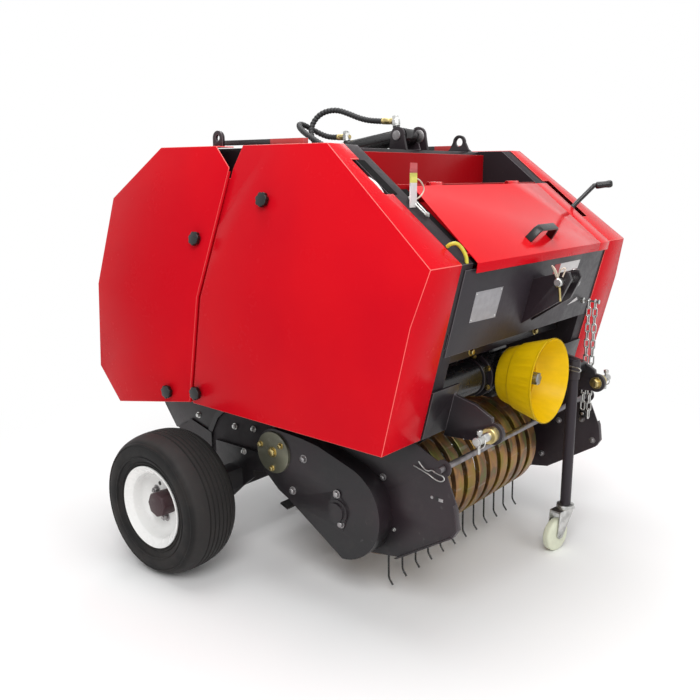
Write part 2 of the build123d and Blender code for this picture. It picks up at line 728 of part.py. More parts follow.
# Bale rollers
def rollers(angles, half):
    solids = []
    for angle in angles:
        y, z = polar((chamberY, chamberZ), rollerCircle, angle)
        drum = rodX(-half + 6, half - 6, y, z, rollerRadius)
        drum += rodX(-half, half, y, z, rollerAxle)
        solids.append(drum)
    return group(solids)


# Gate
gateOutline = [(pivot[0] + seamGap / 2 + 1, pivot[1]), notchRear, gateTop, gateRump, gateRear,
               gateFoot, seamPoint(seamFoot[1], 1)]
flangeFrontY = 290.0        # the flange stays behind the struts' sweep


def gatePlate():
    """Right side plate of the gate with its hinge eye and the flange that the shield sits on."""
    depths = [0.0] + [sheetThick] * 4 + [0.0] * 2
    folded = inset(gateOutline, depths)
    outline = [(pivot[0] + seamGap, pivot[1] + 30)] + folded[1:5] + [
        (gateFoot[0] + 51.0, gateFoot[1] - 62.0), (gateFoot[0] - 4.0, gateHeel[1]), gateHeel, gateWaist,
        seamPoint(seamFoot[1], 1), seamPoint(pivot[1] - 47.0, 1)]
    plate = prismX(outline, plateIn, plateOut)
    inner = inset(gateOutline, [depth + plateThick if depth else 0.0 for depth in depths])
    flange = [(flangeFrontY, folded[1][1])] + folded[2:5] + inner[4:1:-1] + [
        (flangeFrontY, inner[1][1])]
    plate += prismX(flange, plateOut, flangeOut + foldLap)
    plate += rodX(plateIn, plateOut, pivot[0], pivot[1], earRound)
    return plate - rodX(plateIn - 1, plateOut + 1, pivot[0], pivot[1], pivotPin + runClear)


def gateBeam():
    """Cross tubes of the gate: the top one carries the cylinder's bracket."""
    y, z = rodEye
    beam = block(-plateIn, plateIn, y - 30, y + 30, z - 95, z - 45)
    beam -= block(-plateIn - 1, plateIn + 1, y - 26, y + 26, z - 91, z - 49)
    cheek = [(y - 30, z - 45), (y - 16, z + 8), (y + 16, z + 8), (y + 30, z - 45)]
    for x0 in (-26.0 - 10.0, 26.0):
        beam += prismX(cheek, x0, x0 + 10.0)
        beam += rodX(x0, x0 + 10.0, y, z, 21.0)
    return beam


def gateRearTube():
    return block(-plateIn, plateIn, 560.0, 600.0, 600.0, 640.0)


def gateStrut():
    """Right safety strut that lies on the frame: black bar and its clevis."""
    z = topZ + 12.0
    bar = block(396.0, 404.0, 60.0, 246.0, z - 8, z + 6)
    clevis = block(390.0, 410.0, -60.0, 60.0, topZ - sheetThick, z + 6)
    return bar + clevis


knobFront = [(-31.0, 1055.0), (199.0 - 14, 526.0)]
knobGate = [(205.0, 947.0), (310.0, 509.0)]


def knobBody():
    """Lobed head on a round neck, standing on the XY plane."""
    outline = []
    for i in range(4 * knobLobes):
        radius = knobRadius - knobGroove * (0.0, 0.3, 1.0, 0.3)[i % 4]
        outline.append(polar((0.0, 0.0), radius, 360.0 * i / (4 * knobLobes)))
    head = extrude(make_face(Polyline(outline, close=True)), amount=knobHigh, dir=(0, 0, 1))
    neck = Cylinder(knobRadius / 2, knobNeck, align=(Align.CENTER, Align.CENTER, Align.MIN))
    return Pos(0, 0, knobNeck) * head + neck


def knobs(places):
    solids = []
    for y, z in places:
        x = creaseX - max(0.0, facetLean * (z - creaseZ))
        lean = math.degrees(math.atan(facetLean)) if z > creaseZ else 0.0
        knob = Pos(x, y, z) * Rot(0, 90 - lean, 0) * knobBody()
        solids += [knob, mirrored(knob)]
    return group(solids)


# Cylinder
swing = math.degrees(math.atan2(rodEye[1] - clevisPin[1], rodEye[0] - clevisPin[0]))
eyeDistance = math.dist(clevisPin, rodEye)


def placeOnCylinder(shape):
    """From the cylinder's own axis (+Y from the front pin) to its place."""
    return Pos(0, clevisPin[0], clevisPin[1]) * Rot(swing, 0, 0) * shape


def cylinderBody():
    body = rodY(20.0, barrelLong, 0.0, 0.0, barrelRadius)
    body += rodX(-clevisHalf + 6, clevisHalf - 6, 0.0, 0.0, pinRadius + 10)
    body -= rodX(-clevisHalf, clevisHalf, 0.0, 0.0, pinRadius + runClear)
    body -= rodY(40.0, barrelLong + 1, 0.0, 0.0, rodRadius + runClear)
    body += rodZ(barrelRadius - 4, bossFront, 0.0, portFront, 11.0)
    body += rodZ(barrelRadius - 4, bossRear, 0.0, portRear, 11.0)
    return placeOnCylinder(body)


def cylinderRod():
    rod = rodY(170.0, eyeDistance, 0.0, 0.0, rodRadius)
    rod += rodX(-21.0, 21.0, eyeDistance, 0.0, 22.0)
    return placeOnCylinder(rod)


# Hoses of the cylinder: from each port's ferrule over a loop and down to the cross tube
hoseRadius = 8.0
ferruleRadius = 9.5
ferruleLong = 42.0
hoseRoutes = {
    "hose_front": [(0, -10, 1275), (0, 34, 1277), (-3, 78, 1287), (-6, 118, 1302),
                   (-12, 156, 1314), (-24, 190, 1312), (-36, 216, 1298), (-50, 228, 1272),
                   (-62, 224, 1244), (-72, 204, 1220), (-82, 170, 1202), (-90, 124, 1186),
                   (-97, 70, 1173), (-101, 10, 1166), (-101, -65, 1166)],
    "hose_rear": [(0, 164, 1233), (0, 194, 1233), (-6, 226, 1242), (-24, 250, 1258),
                  (-52, 262, 1272), (-84, 254, 1272), (-108, 226, 1256), (-122, 184, 1236),
                  (-127, 138, 1214), (-130, 84, 1192), (-133, 30, 1174), (-134, -14, 1166),
                  (-134, -65, 1166)],
}


def hose(points):
    """Tube along straight runs joined by arcs as large as the runs allow."""
    corners = [Vector(*point) for point in points]
    radii = []
    for before, at, after in zip(corners, corners[1:], corners[2:]):
        turn = math.radians((at - before).get_angle(after - at))
        shorter = min((at - before).length, (after - at).length)
        radii.append(0.45 * shorter / math.tan(turn / 2))
    print("hose radii", [round(radius) for radius in radii])
    path = FilletPolyline(*corners, radius=radii)
    start = Plane(origin=path @ 0, z_dir=path % 0)
    return sweep(start * Circle(hoseRadius), path=path)


def fitting(route, along, bossTop):
    """Banjo on a port of the cylinder, with the ferrule that holds the hose's end."""
    banjo = rodZ(bossTop, bossTop + 30, 0.0, along, 7.0)
    banjo += rodZ(bossTop + 4, bossTop + 20, 0.0, along, 12.0)
    start, onward = Vector(*route[0]), Vector(*route[1])
    ferrule = Cylinder(ferruleRadius, ferruleLong, align=(Align.CENTER, Align.CENTER, Align.MAX))
    return placeOnCylinder(banjo) + Plane(origin=start, z_dir=(onward - start).normalized()) * ferrule


# Lid
def lid():
    """Twine box lid: sloping sheet and a folded front lip."""
    run = math.dist(shoulder, brow)
    dy, dz = (brow[0] - shoulder[0]) / run, (brow[1] - shoulder[1]) / run
    ny, nz = dz, -dy            # outward normal of the slope, up and forward
    if nz < 0:
        ny, nz = -ny, -nz
    lift = lidLift
    top = (lidTopY, shoulder[1] + (lidTopY - shoulder[0]) * dz / dy)
    a = (top[0] + ny * lift, top[1] + nz * lift)
    b = (brow[0] + dy * 8 + ny * lift, brow[1] + dz * 8 + nz * lift)
    lipY = (chin[0] - brow[0]) / (brow[1] - chin[1])
    c = (b[0] + lidLip * lipY - 1, b[1] - lidLip)
    t = sheetThick
    outline = [a, b, c, (c[0] + t, c[1]), (b[0] - ny * t - dy * t, b[1] - nz * t - dz * t),
               (a[0] - ny * t, a[1] - nz * t)]
    sheet = prismX(outline, lidLeftLow, lidHalf)
    corner = extrude(make_face(Polyline([(lidLeftLow - 1, a[0] + 30, 800.0),
                                         (lidLeftTop, a[0] + 30, 800.0),
                                         (lidLeftTop, a[0], 800.0),
                                         (lidLeftLow, b[0], 800.0),
                                         (lidLeftLow - 1, b[0], 800.0)], close=True)),
                     amount=500.0, dir=(0, 0, 1))
    cover = sheet - corner
    for x0, x1 in hingeSpans:
        neck = [a, (a[0] - ny * t, a[1] - nz * t), (hingeLine[0] - 1, hingeLine[1] - 5.5),
                (hingeLine[0] - 2, hingeLine[1] + 5)]
        cover += prismX(neck, x0, x1) + rodX(x0, x1, hingeLine[0], hingeLine[1], knuckle)
        cover -= rodX(x0 - 1, x1 + 1, hingeLine[0], hingeLine[1], hingePin + runClear)
    return cover


def onLid(shape, down):
    """Place a shape drawn with its foot at the origin on the lid, down mm below its hinge edge."""
    run = math.dist(shoulder, brow)
    dy, dz = (brow[0] - shoulder[0]) / run, (brow[1] - shoulder[1]) / run
    z = shoulder[1] + (lidTopY - shoulder[0]) * dz / dy
    tilt = math.degrees(math.atan2(-dz, -dy))
    y0 = lidTopY + dy * down + dz * lidLift
    z0 = z + dz * down - dy * lidLift
    return Pos(0, y0, z0) * Rot(tilt, 0, 0) * shape


def lidHandle():
    """Moulded pull on the lid."""
    body = block(handleX - 46, handleX + 46, -22.0, 22.0, 0.0, 26.0)
    return onLid(body, handleDown)


# Wheels
def tyre():
    half = tyreWide / 2
    r = wheelRadius
    profile = [(rimSeat, -half + 24), (rimRadius + 1, -half + 14), (150.0, -half), (172.0, -half),
               (190.0, -half + 8), (200.0, -half + 22), (r, -half + 46), (r, half - 46),
               (200.0, half - 22), (190.0, half - 8), (172.0, half), (150.0, half),
               (rimRadius + 1, half - 14), (rimSeat, half - 24)]
    wire = Polyline([(x, 0.0, radius) for radius, x in profile], close=True)
    ring = revolve(make_face(wire), axis=Axis.X)
    return Pos(wheelX, wheelY, wheelRadius) * ring


def rim():
    """Pressed disc wheel with its hub and cap; +X is the outer side."""
    half = tyreWide / 2
    # (radius, X) of the barrel, open on both sides of the disc
    barrel = [(rimRadius, -half + 10), (rimRadius, -half + 14), (rimSeat, -half + 24),
              (rimSeat, half - 24), (rimRadius, half - 14), (rimRadius, half - 10),
              (rimSeat - 6, half - 20), (rimSeat - 6, discX + 22), (84.0, discX + 9),
              (66.0, discX + 4), (stubRadius + runClear, discX + 4), (stubRadius + runClear, discX),
              (66.0, discX), (84.0, discX + 4), (rimSeat - 2, discX + 16), (rimSeat - 6, -half + 20)]
    wire = Polyline([(x, 0.0, radius) for radius, x in barrel], close=True)
    wheel = revolve(make_face(wire), axis=Axis.X)
    wheel += rodX(-100.0, discX + 2, 0.0, 0.0, hubRadius - 8)
    # eight-sided cap over the end of the stub axle
    corners = [polar((0.0, 0.0), capRadius, 12.0 + 45.0 * i) for i in range(8)]
    cap = prismX(corners, discX + 2, capReach)
    bore = rodX(-101.0, stubLong + 0.5, 0.0, 0.0, stubRadius + runClear)
    return Pos(wheelX, wheelY, wheelRadius) * ((wheel + cap) - bore)


def densityLever():
    """Bent lever that comes through the slot in the right sheet."""
    path = Polyline(leverPath)
    lever = sweep(Plane(origin=path @ 0, z_dir=path % 0) * Circle(leverRadius), path=path,
                  transition=Transition.RIGHT)
    x, y, z = leverPath[0]
    return lever + rodX(flangeOut + foldLap, x + leverRadius, y, z, 12.0)


indicatorTop = 1147.0


def indicator():
    """Flat pointer bar that stands on the left folded edge."""
    y0, y1 = -400.0, -396.0
    bar = [(y0, slopeZ(y0, -sheetThick)), (y1, slopeZ(y1, -sheetThick)), (y1, indicatorTop), (y0, indicatorTop)]
    return prismX(bar, -409.0, -383.0)


def frontShield(window):
    """Right front shield; window is the X, Y and Y at which its slope is cut away."""
    outline = [shoulder, brow, chin, seamPoint(seamFoot[1], -1), seamPoint(pivot[1] - 2, -1),
               notchFront]
    skin = shield(outline, [True, True, False, False, False, True], stepCut) + seamLip()
    x, y0, y1 = window
    return skin - block(flangeOut - 1, x, y0, y1, slopeZ(y0) - 10.0, slopeZ(y1) + 10.0)


leverWindow = (470.0, -468.0, -330.0)
pulleyWindow = (459.0, -362.0, -258.0)


def gateShield():
    return shield(gateOutline, [False, True, True, True, True, False, False])


gateEye = liftingEye(flangeOut + 3.0, 240.0, topZ, 24.0, 20.0, 8.0, 20.0)
hoseTubes = {name: hose(route) for name, route in hoseRoutes.items()}
hoseEnds = group([fitting(hoseRoutes["hose_front"], portFront, bossFront),
                  fitting(hoseRoutes["hose_rear"], portRear, bossRear)])

nodes = {
    "side_plate_right": sidePlate(),
    "side_plate_left": mirrored(sidePlate()),
    "front_plate": frontPlate(),
    "twine_tray": twineTray(),
    "top_beam": topBeam(),
    "lifting_eye_front": liftingEye(300.0, clevisPin[0], topZ - beamRoof, 30.0, 22.0, 13.5, 46.0),
    "cross_beam": crossBeam(),
    "axle_beam": axleBeam(),
    "front_shield_right": frontShield(leverWindow),
    "front_shield_left": mirrored(frontShield(pulleyWindow)),
    "front_rollers": rollers(frontRollerAngles, plateIn),
    "gearbox": gearbox(),
    "pto_guard": ptoGuard(),
    "pto_shaft": ptoShaft(),
    "top_link_clevis": topLinkClevis(),
    "lower_link_right": lowerLink(),
    "lower_link_left": mirrored(lowerLink()),
    "stand_bracket": standBracket(),
    "stand_leg": standLeg(),
    "caster_fork": casterFork(),
    "caster_wheel": casterWheel(),
    "pickup_plate_right": pickupPlate(),
    "pickup_plate_left": mirrored(pickupPlate()),
    "chain_guard": chainGuard(),
    "pickup_bands": pickupBands(),
    "pickup_reel": pickupReel(),
    "wind_guard_rod": windGuardRod(),
    "gate_struts": group([gateStrut(), mirrored(gateStrut())]),
    "lift_chain": liftChain(),
    "twine_guide": twineGuide(),
    "knobs_front": knobs(knobFront),
    "density_lever": densityLever(),
    "indicator": indicator(),
    "gate_plate_right": gatePlate(),
    "gate_plate_left": mirrored(gatePlate()),
    "gate_shield_right": gateShield(),
    "gate_shield_left": mirrored(gateShield()),
    "gate_rollers": rollers(gateRollerAngles, plateIn),
    "gate_beam": gateBeam(),
    "gate_rear_tube": gateRearTube(),
    "knobs_gate": knobs(knobGate),
    "lifting_eyes_gate": group([gateEye, mirrored(gateEye)]),
    "cylinder_body": cylinderBody(),
    "cylinder_rod": cylinderRod(),
    **hoseTubes,
    "hose_fittings": hoseEnds,
    "lid": lid(),
    "lid_handle": lidHandle(),
    "tyre_right": tyre(),
    "tyre_left": mirrored(tyre()),
    "rim_right": rim(),
    "rim_left": mirrored(rim()),
}

os.makedirs("parts", exist_ok=True)
for name, shape in nodes.items():
    export_step(shape, f"parts/{name}.step")
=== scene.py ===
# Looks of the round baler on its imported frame. The tables are in millimetres in the row frame:
# X is the width, -Y the tractor side, Z up from the floor.
import json
import math

import bmesh
import bpy
import numpy as np
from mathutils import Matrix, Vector


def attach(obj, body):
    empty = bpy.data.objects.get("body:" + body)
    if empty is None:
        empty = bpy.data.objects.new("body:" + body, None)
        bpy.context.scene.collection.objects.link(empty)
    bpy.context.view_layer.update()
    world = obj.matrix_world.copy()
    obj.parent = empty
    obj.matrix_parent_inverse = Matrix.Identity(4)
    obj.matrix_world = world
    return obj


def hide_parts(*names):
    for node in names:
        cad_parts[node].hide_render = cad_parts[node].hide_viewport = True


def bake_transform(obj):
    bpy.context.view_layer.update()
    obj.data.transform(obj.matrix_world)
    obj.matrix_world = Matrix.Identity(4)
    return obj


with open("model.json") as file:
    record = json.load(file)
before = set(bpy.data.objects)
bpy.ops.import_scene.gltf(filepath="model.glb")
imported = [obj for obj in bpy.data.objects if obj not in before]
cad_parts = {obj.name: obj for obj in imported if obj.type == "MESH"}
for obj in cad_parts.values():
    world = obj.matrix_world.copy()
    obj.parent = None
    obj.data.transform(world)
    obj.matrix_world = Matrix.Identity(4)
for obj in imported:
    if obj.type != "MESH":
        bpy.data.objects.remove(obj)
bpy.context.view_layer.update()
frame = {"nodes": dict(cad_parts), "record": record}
bodyOf = {node: body for body, group in frame["record"]["behaviour"]["bodies"].items() for node in group}
slotOf = {part["node"]: part["material_slot"] for part in frame["record"]["subparts"]}
mm = 0.001
toLeft = (-1, 0, 0)


# Camera at the photograph's place; the rest of the stage is below the materials
view = {"spot": (-2.0094, -1.5123, 1.1238), "ahead": (0.7586, 0.6149, -0.2141), "lens": 41.54}
camera = bpy.data.objects.new("camera", bpy.data.cameras.new("camera"))
camera.location = view["spot"]
camera.rotation_euler = Vector(view["ahead"]).to_track_quat("-Z", "Y").to_euler()
camera.data.lens = view["lens"]
camera.data.sensor_width = 36.0
bpy.context.scene.collection.objects.link(camera)
bpy.context.scene.camera = camera
bpy.context.scene.view_settings.view_transform = "Standard"


class Field:
    # A socket of a node tree; arithmetic on it adds Math nodes.
    def __init__(self, nodes, socket):
        self.nodes, self.socket = nodes, socket

    def math(self, operation, first, second):
        return self.nodes.node("ShaderNodeMath", {"operation": operation}, {0: first, 1: second})

    def __add__(self, other):
        return self.math("ADD", self, other)

    def __sub__(self, other):
        return self.math("SUBTRACT", self, other)

    def __rsub__(self, other):
        return self.math("SUBTRACT", other, self)

    def __mul__(self, other):
        return self.math("MULTIPLY", self, other)

    def between(self, low, high):
        # 0 below low, 1 above high, smooth between
        return self.nodes.node("ShaderNodeMapRange", {"interpolation_type": "SMOOTHSTEP"},
                               {"Value": self, "From Min": low, "From Max": high})


class Nodes:
    # A node tree; every node but the arithmetic comes from node().
    def __init__(self, tree):
        self.tree = tree

    def feed(self, value, socket):
        if isinstance(value, Field):
            self.tree.links.new(value.socket, socket)
        elif socket.type == "RGBA":
            socket.default_value = (*value, 1.0)
        else:
            socket.default_value = value

    def node(self, kind, settings, values, output=0):
        made = self.tree.nodes.new(kind)
        for setting, value in settings.items():
            if setting == "stops":          # (position, colour) pairs of a ramp
                elements = made.color_ramp.elements
                while len(elements) < len(value):
                    elements.new(0.5)
                for element, (position, colour) in zip(elements, value):
                    element.position, element.color = position, (*colour, 1.0)
            else:
                setattr(made, setting, value)
        for socket, value in values.items():
            self.feed(value, made.inputs[socket])
        return Field(self, made.outputs[output])


class Finish(Nodes):
    # One material: a Principled shader and the fields that feed it.
    def __init__(self, name, **sockets):
        self.material = bpy.data.materials.new(name)
        self.material.use_nodes = True
        super().__init__(self.material.node_tree)
        self.shader = self.tree.nodes["Principled BSDF"]
        self.place = self.node("ShaderNodeTexCoord", {}, {}, "Object")
        self.colour = None
        self.relief = None
        for socket, value in sockets.items():
            self.feed(value, self.shader.inputs[socket.replace("_", " ")])

    def noise(self, scale, detail=3.0, stretch=None, rough=0.5):
        # Noise with scale features per metre; stretch slows it along an axis
        place = self.place
        if stretch:
            place = self.node("ShaderNodeMapping", {}, {"Vector": place, "Scale": stretch})
        return self.node("ShaderNodeTexNoise", {}, {"Vector": place, "Scale": scale, "Detail": detail,
                                                     "Roughness": rough}, "Fac")

    def axis(self, name):
        return self.node("ShaderNodeSeparateXYZ", {}, {0: self.place}, name)

    def mix(self, mask, under, over):
        return self.node("ShaderNodeMix", {"data_type": "RGBA"}, {0: mask, 6: under, 7: over}, 2)

    def lay(self, mask, colour):
        # Another colour over the present one where mask is 1
        self.paint(self.mix(mask, self.colour, colour))

    def paint(self, colour):
        self.colour = colour
        self.feed(colour, self.shader.inputs["Base Color"])

    def rough(self, field, low, high):
        self.feed(field * (high - low) + low, self.shader.inputs["Roughness"])

    def bump(self, field, distance, strength=1.0):
        # Relief of distance metres on top of the relief so far
        values = {"Strength": strength, "Distance": distance, "Height": field}
        if self.relief:
            values["Normal"] = self.relief
        self.relief = self.node("ShaderNodeBump", {}, values)
        self.feed(self.relief, self.shader.inputs["Normal"])


def shade(colour, factor):
    return tuple(part * factor for part in colour)


def enamel(name, colour, drift, gloss, level, peel, dust=0.0, scratch=0.0):
    # Sprayed enamel: slow drift between two tones, orange peel, a little sheet waviness, fine
    # scratches along the sheet and thin dust low down
    paint = Finish(name, Specular_IOR_Level=level)
    slow = paint.noise(2.6, 3.0).between(0.35, 0.68)
    paint.paint(paint.mix(slow, colour, drift))
    if scratch:
        lines = paint.noise(55.0, 5.0, (0.06, 1.0, 1.0)).between(0.64, 0.72)
        paint.lay(lines * paint.noise(7.0, 2.0).between(0.5, 0.7) * scratch, (0.16, 0.155, 0.15))
    if dust:
        low = (0.75 - paint.axis("Z")).between(0.0, 0.75)
        paint.lay(paint.noise(34.0, 6.0, None, 0.6).between(0.5, 0.8) * low * dust, (0.20, 0.17, 0.145))
    cloud = paint.noise(11.0, 4.0) * 0.6 + paint.noise(70.0, 4.0) * 0.4
    paint.rough(cloud.between(0.38, 0.64), gloss, gloss + 0.12)
    paint.bump(paint.noise(4.5, 1.0), 0.0016, 0.35)
    paint.bump(paint.noise(360.0, 2.0), peel)
    return paint.material


def metal(name, colour, gloss, grain=None, spots=0.3):
    # Plated or bare steel with a drawn grain and cloudy spots
    paint = Finish(name, Metallic=1.0)
    paint.paint(paint.mix(paint.noise(45.0, 4.0).between(0.36, 0.62), shade(colour, 1.0 - spots), colour))
    paint.rough(paint.noise(380.0, 4.0, grain), gloss, gloss + 0.25)
    paint.bump(paint.noise(520.0, 3.0, grain), 0.00012)
    return paint.material


def passivated(name, tones, gloss):
    # Yellow passivation on zinc: gold, olive and rose that drift from band to band and along each
    paint = Finish(name, Metallic=0.85)
    drift = paint.noise(9.0, 2.0) * 0.5 + paint.noise(30.0, 4.0, (1.0, 0.5, 0.5)) * 0.5
    paint.paint(paint.node("ShaderNodeValToRGB", {"stops": tones}, {"Fac": drift}))
    rub = paint.noise(60.0, 5.0, (0.15, 1.0, 1.0)).between(0.58, 0.72)
    paint.lay(rub * 0.35, (0.42, 0.41, 0.38))
    paint.rough(paint.noise(110.0, 4.0), gloss, gloss + 0.2)
    paint.bump(paint.noise(420.0, 3.0), 0.0001)
    return paint.material


def moulded(name, colour, gloss, grain, level=0.5, fade=0.14):
    # Moulded plastic or rubber: even colour with faint flow marks and a fine texture
    paint = Finish(name, IOR=1.46, Specular_IOR_Level=level)
    flow = paint.noise(12.0, 4.0) * 0.7 + paint.noise(90.0, 3.0, (1.0, 0.2, 1.0)) * 0.3
    darker, paler = shade(colour, 1.0 - fade), shade(colour, 1.0 + fade / 2)
    paint.paint(paint.mix(flow.between(0.36, 0.64), darker, paler))
    paint.rough(paint.noise(40.0, 4.0), gloss, gloss + 0.15)
    paint.bump(paint.noise(700.0, 3.0), grain)
    return paint.material


# Wheels: profiles are (distance from the wheel's middle towards the outside, radius)
wheel = {
    "centre": (640, 262, 205), "radius": 205, "treadHalf": 62, "crown": 9,
    "treadEdge": (188, 195),        # radii between which the tread's colour begins
    "grooves": (-48, -33, -18, -3, 12, 27), "grooveDeep": 5, "grooveWide": 2,
    "shoulder": [(66, 194), (70, 191.4), (74, 188), (76.6, 185.2), (79.2, 184.6),
                 (80.6, 182.6), (80.6, 180.6), (79.2, 179.2), (81.2, 175), (82.3, 168), (82.5, 160),
                 (82, 153), (80.2, 148.4), (82, 147.2), (82.4, 145.2), (81.4, 143.4), (77.4, 141.8),
                 (75, 136), (73.2, 131.6), (75, 130.2), (75, 128.2), (71.8, 126.4),
                 (69.6, 122), (68, 119.6), (63.5, 111), (58.5, 101.5)],
    "dish": [(-58.5, 101), (-68.5, 118), (-72.5, 118.6), (-73, 114), (-66, 106),
             (-62.5, 95), (10, 95.5), (16, 92), (13.5, 85), (6.5, 74), (3.4, 62),
             (3, 15), (6.2, 15), (6.6, 61), (9.8, 72.5), (17.5, 83.5), (26, 90.5), (34, 93.5),
             (60, 95.5), (66.5, 105), (71, 112.5), (74.5, 115), (75.3, 117.4), (73.8, 119.3),
             (69.5, 119), (58.5, 101.5)],
    "hub": [(3, 15), (3, 38), (-96, 38), (-100, 34), (-100, 15)],
    "cap": [(6, 0), (6, 33), (7.5, 36), (10, 37), (49, 37), (53, 34.5),
            (53, 29.5), (54, 28.5), (54, 0)],
    "boltCircle": 57, "boltAngles": (18, 108, 198, 288), "holeTurn": 0.52,
    # the holes in the dish are dark discs: painted shade seen through them
    "hole": (0, 0.5, 6.5),              # start, end and radius
    "valve": [(0, 0), (0, 5), (4, 5), (6, 3.4), (26, 3.4), (26, 4.4), (36, 4.4), (37, 0)],
}


def tyreRubber(name, dark, bloom):
    # Tyre rubber with a brown bloom, rubbed dust in patches, and a paler tread: its mask is the
    # squared distance from the axle
    paint = Finish(name, Specular_IOR_Level=0.24)
    paint.paint(paint.mix(paint.noise(12.0, 5.0).between(0.4, 0.66), dark, bloom))
    behind = paint.axis("Y") - wheel["centre"][1] * mm
    above = paint.axis("Z") - wheel["centre"][2] * mm
    low, high = ((edge * mm) ** 2 for edge in wheel["treadEdge"])
    tread = (behind * behind + above * above).between(low, high)
    paint.lay(tread * 0.75, (0.030, 0.0275, 0.027))
    dust = paint.noise(42.0, 7.0, None, 0.65).between(0.54, 0.74)
    paint.lay(dust * 0.12, (0.085, 0.07, 0.058))
    paint.rough(paint.noise(30.0, 4.0), 0.5, 0.75)
    paint.bump(paint.noise(260.0, 5.0), 0.00028)
    return paint.material


goldTones = [(0.3, (0.08, 0.08, 0.025)), (0.4, (0.27, 0.19, 0.035)), (0.48, (0.33, 0.17, 0.06)),
             (0.54, (0.20, 0.11, 0.06)), (0.6, (0.14, 0.15, 0.05)), (0.7, (0.30, 0.22, 0.05))]
oliveTones = [(0.3, (0.13, 0.13, 0.09)), (0.5, (0.20, 0.20, 0.15)), (0.7, (0.12, 0.115, 0.09))]
redSheet = (0.60, 0.0042, 0.013)
paints = {
    "red": enamel("red_enamel", redSheet, (0.66, 0.0055, 0.013), 0.16, 0.035, 0.00012),
    # lighter, glossier copy of the red enamel for the up-facing lid, its wing and the right shield's
    # slope: painted sheen
    "redTop": enamel("red_enamel_painted_sheen", (0.66, 0.006, 0.012), (0.74, 0.009, 0.014),
                     0.12, 0.19, 0.00008),
    # lighter copy of the red enamel for rounded edges: painted highlight
    "redEdge": enamel("red_enamel_painted_edge_highlight", (0.80, 0.10, 0.095), (0.88, 0.16, 0.14), 0.22, 0.2, 0.0001),
    # darker copy of the red enamel for the twine tray and gate beam, which sit inside: painted shade
    "redInside": enamel("red_enamel_painted_shade", (0.34, 0.002, 0.005), (0.39, 0.003, 0.007),
                        0.3, 0.08, 0.00012),
    "black": enamel("dark_enamel", (0.0125, 0.0120, 0.0135), (0.024, 0.0145, 0.0190),
                    0.3, 0.42, 0.0003, 0.06, 0.3),
    "panel": enamel("panel_enamel", (0.024, 0.022, 0.026), (0.030, 0.0225, 0.029),
                    0.34, 0.26, 0.00022, 0.0, 0.1),
    # lighter copy of the dark enamel for rounded edges: painted highlight
    "blackEdge": enamel("dark_enamel_painted_edge_highlight", (0.085, 0.075, 0.082), (0.12, 0.10, 0.11), 0.3, 0.5, 0.0002),
    "blackGloss": enamel("black_enamel", (0.008, 0.008, 0.009), (0.011, 0.010, 0.011),
                         0.2, 0.5, 0.0002, 0.1, 0.2),
    "post": enamel("post_enamel", (0.022, 0.018, 0.021), (0.027, 0.020, 0.024),
                   0.42, 0.12, 0.0002, 0.0, 0.15),
    "white": enamel("white_enamel", (0.88, 0.88, 0.86), (0.92, 0.92, 0.905), 0.22, 0.35, 0.0002),
    "cap": enamel("hub_cap_enamel", (0.030, 0.012, 0.016), (0.045, 0.018, 0.022), 0.36, 0.4, 0.0003, 0.2),
    "zinc": metal("zinc_plate", (0.60, 0.60, 0.585), 0.2),
    "dullZinc": metal("dull_zinc_plate", (0.40, 0.385, 0.39), 0.3, None, 0.35),
    "brass": metal("yellow_zinc_plate", (0.62, 0.50, 0.22), 0.2),
    "chrome": metal("chrome_plate", (0.78, 0.79, 0.80), 0.05, (1.0, 0.1, 1.0), 0.05),
    "steel": metal("bare_steel", (0.34, 0.335, 0.33), 0.3, (1.0, 0.12, 1.0)),
    "spline": metal("bright_spline_steel", (0.30, 0.33, 0.36), 0.22, (1.0, 0.12, 1.0)),
    "bands": passivated("yellow_passivated_steel", goldTones, 0.3),
    "olive": passivated("olive_passivated_steel", oliveTones, 0.35),
    "yellow": moulded("yellow_plastic", (0.82, 0.53, 0.003), 0.28, 0.00012, 0.2, 0.08),
    "plastic": moulded("black_plastic", (0.006, 0.006, 0.0065), 0.22, 0.0001, 0.5),
    "rubber": moulded("hose_cover", (0.020, 0.020, 0.021), 0.45, 0.0003, 0.5),
    "nylon": moulded("cream_nylon", (0.72, 0.74, 0.58), 0.3, 0.0001, 0.4, 0.06),
    "strap": moulded("cream_strap", (0.68, 0.58, 0.47), 0.35, 0.0001, 0.4, 0.1),
    # near black, hardly reflecting finish of the strips under the lid's edge and beside the pulley:
    # painted shade
    "pad": moulded("dark_pad_painted_shade", (0.006, 0.0055, 0.006), 0.6, 0.0003, 0.05),
    "rod": metal("rod_steel", (0.25, 0.235, 0.245), 0.3, (0.12, 1.0, 1.0)),
    "twine": moulded("yellow_tube", (0.66, 0.58, 0.06), 0.3, 0.0001, 0.4, 0.2),
    "tyre": tyreRubber("tyre_rubber", (0.0085, 0.0080, 0.0082), (0.018, 0.0155, 0.0145)),
    "plate": metal("bare_name_plate", (0.40, 0.39, 0.41), 0.4, (0.12, 1.0, 1.0), 0.1),
    "label": moulded("bare_label", (0.62, 0.60, 0.60), 0.35, 0.00002, 0.3, 0.06),
    "labelRed": moulded("bare_label_red", (0.36, 0.03, 0.035), 0.35, 0.00002, 0.3, 0.1),
    "markRed": enamel("marker_red", (0.42, 0.035, 0.045), (0.62, 0.16, 0.16), 0.3, 0.3, 0.0002),
    "markYellow": enamel("marker_yellow", (0.62, 0.58, 0.06), (0.70, 0.66, 0.20), 0.3, 0.3, 0.0002),
    "markWhite": enamel("marker_white", (0.66, 0.62, 0.62), (0.74, 0.70, 0.70), 0.3, 0.3, 0.0002),
    "clevisRed": enamel("strut_red", (0.42, 0.012, 0.016), (0.60, 0.10, 0.09), 0.28, 0.3, 0.0002),
}
print("materials ready:", len(paints))


def unit(vectors):
    return vectors / np.linalg.norm(vectors, axis=-1, keepdims=True)


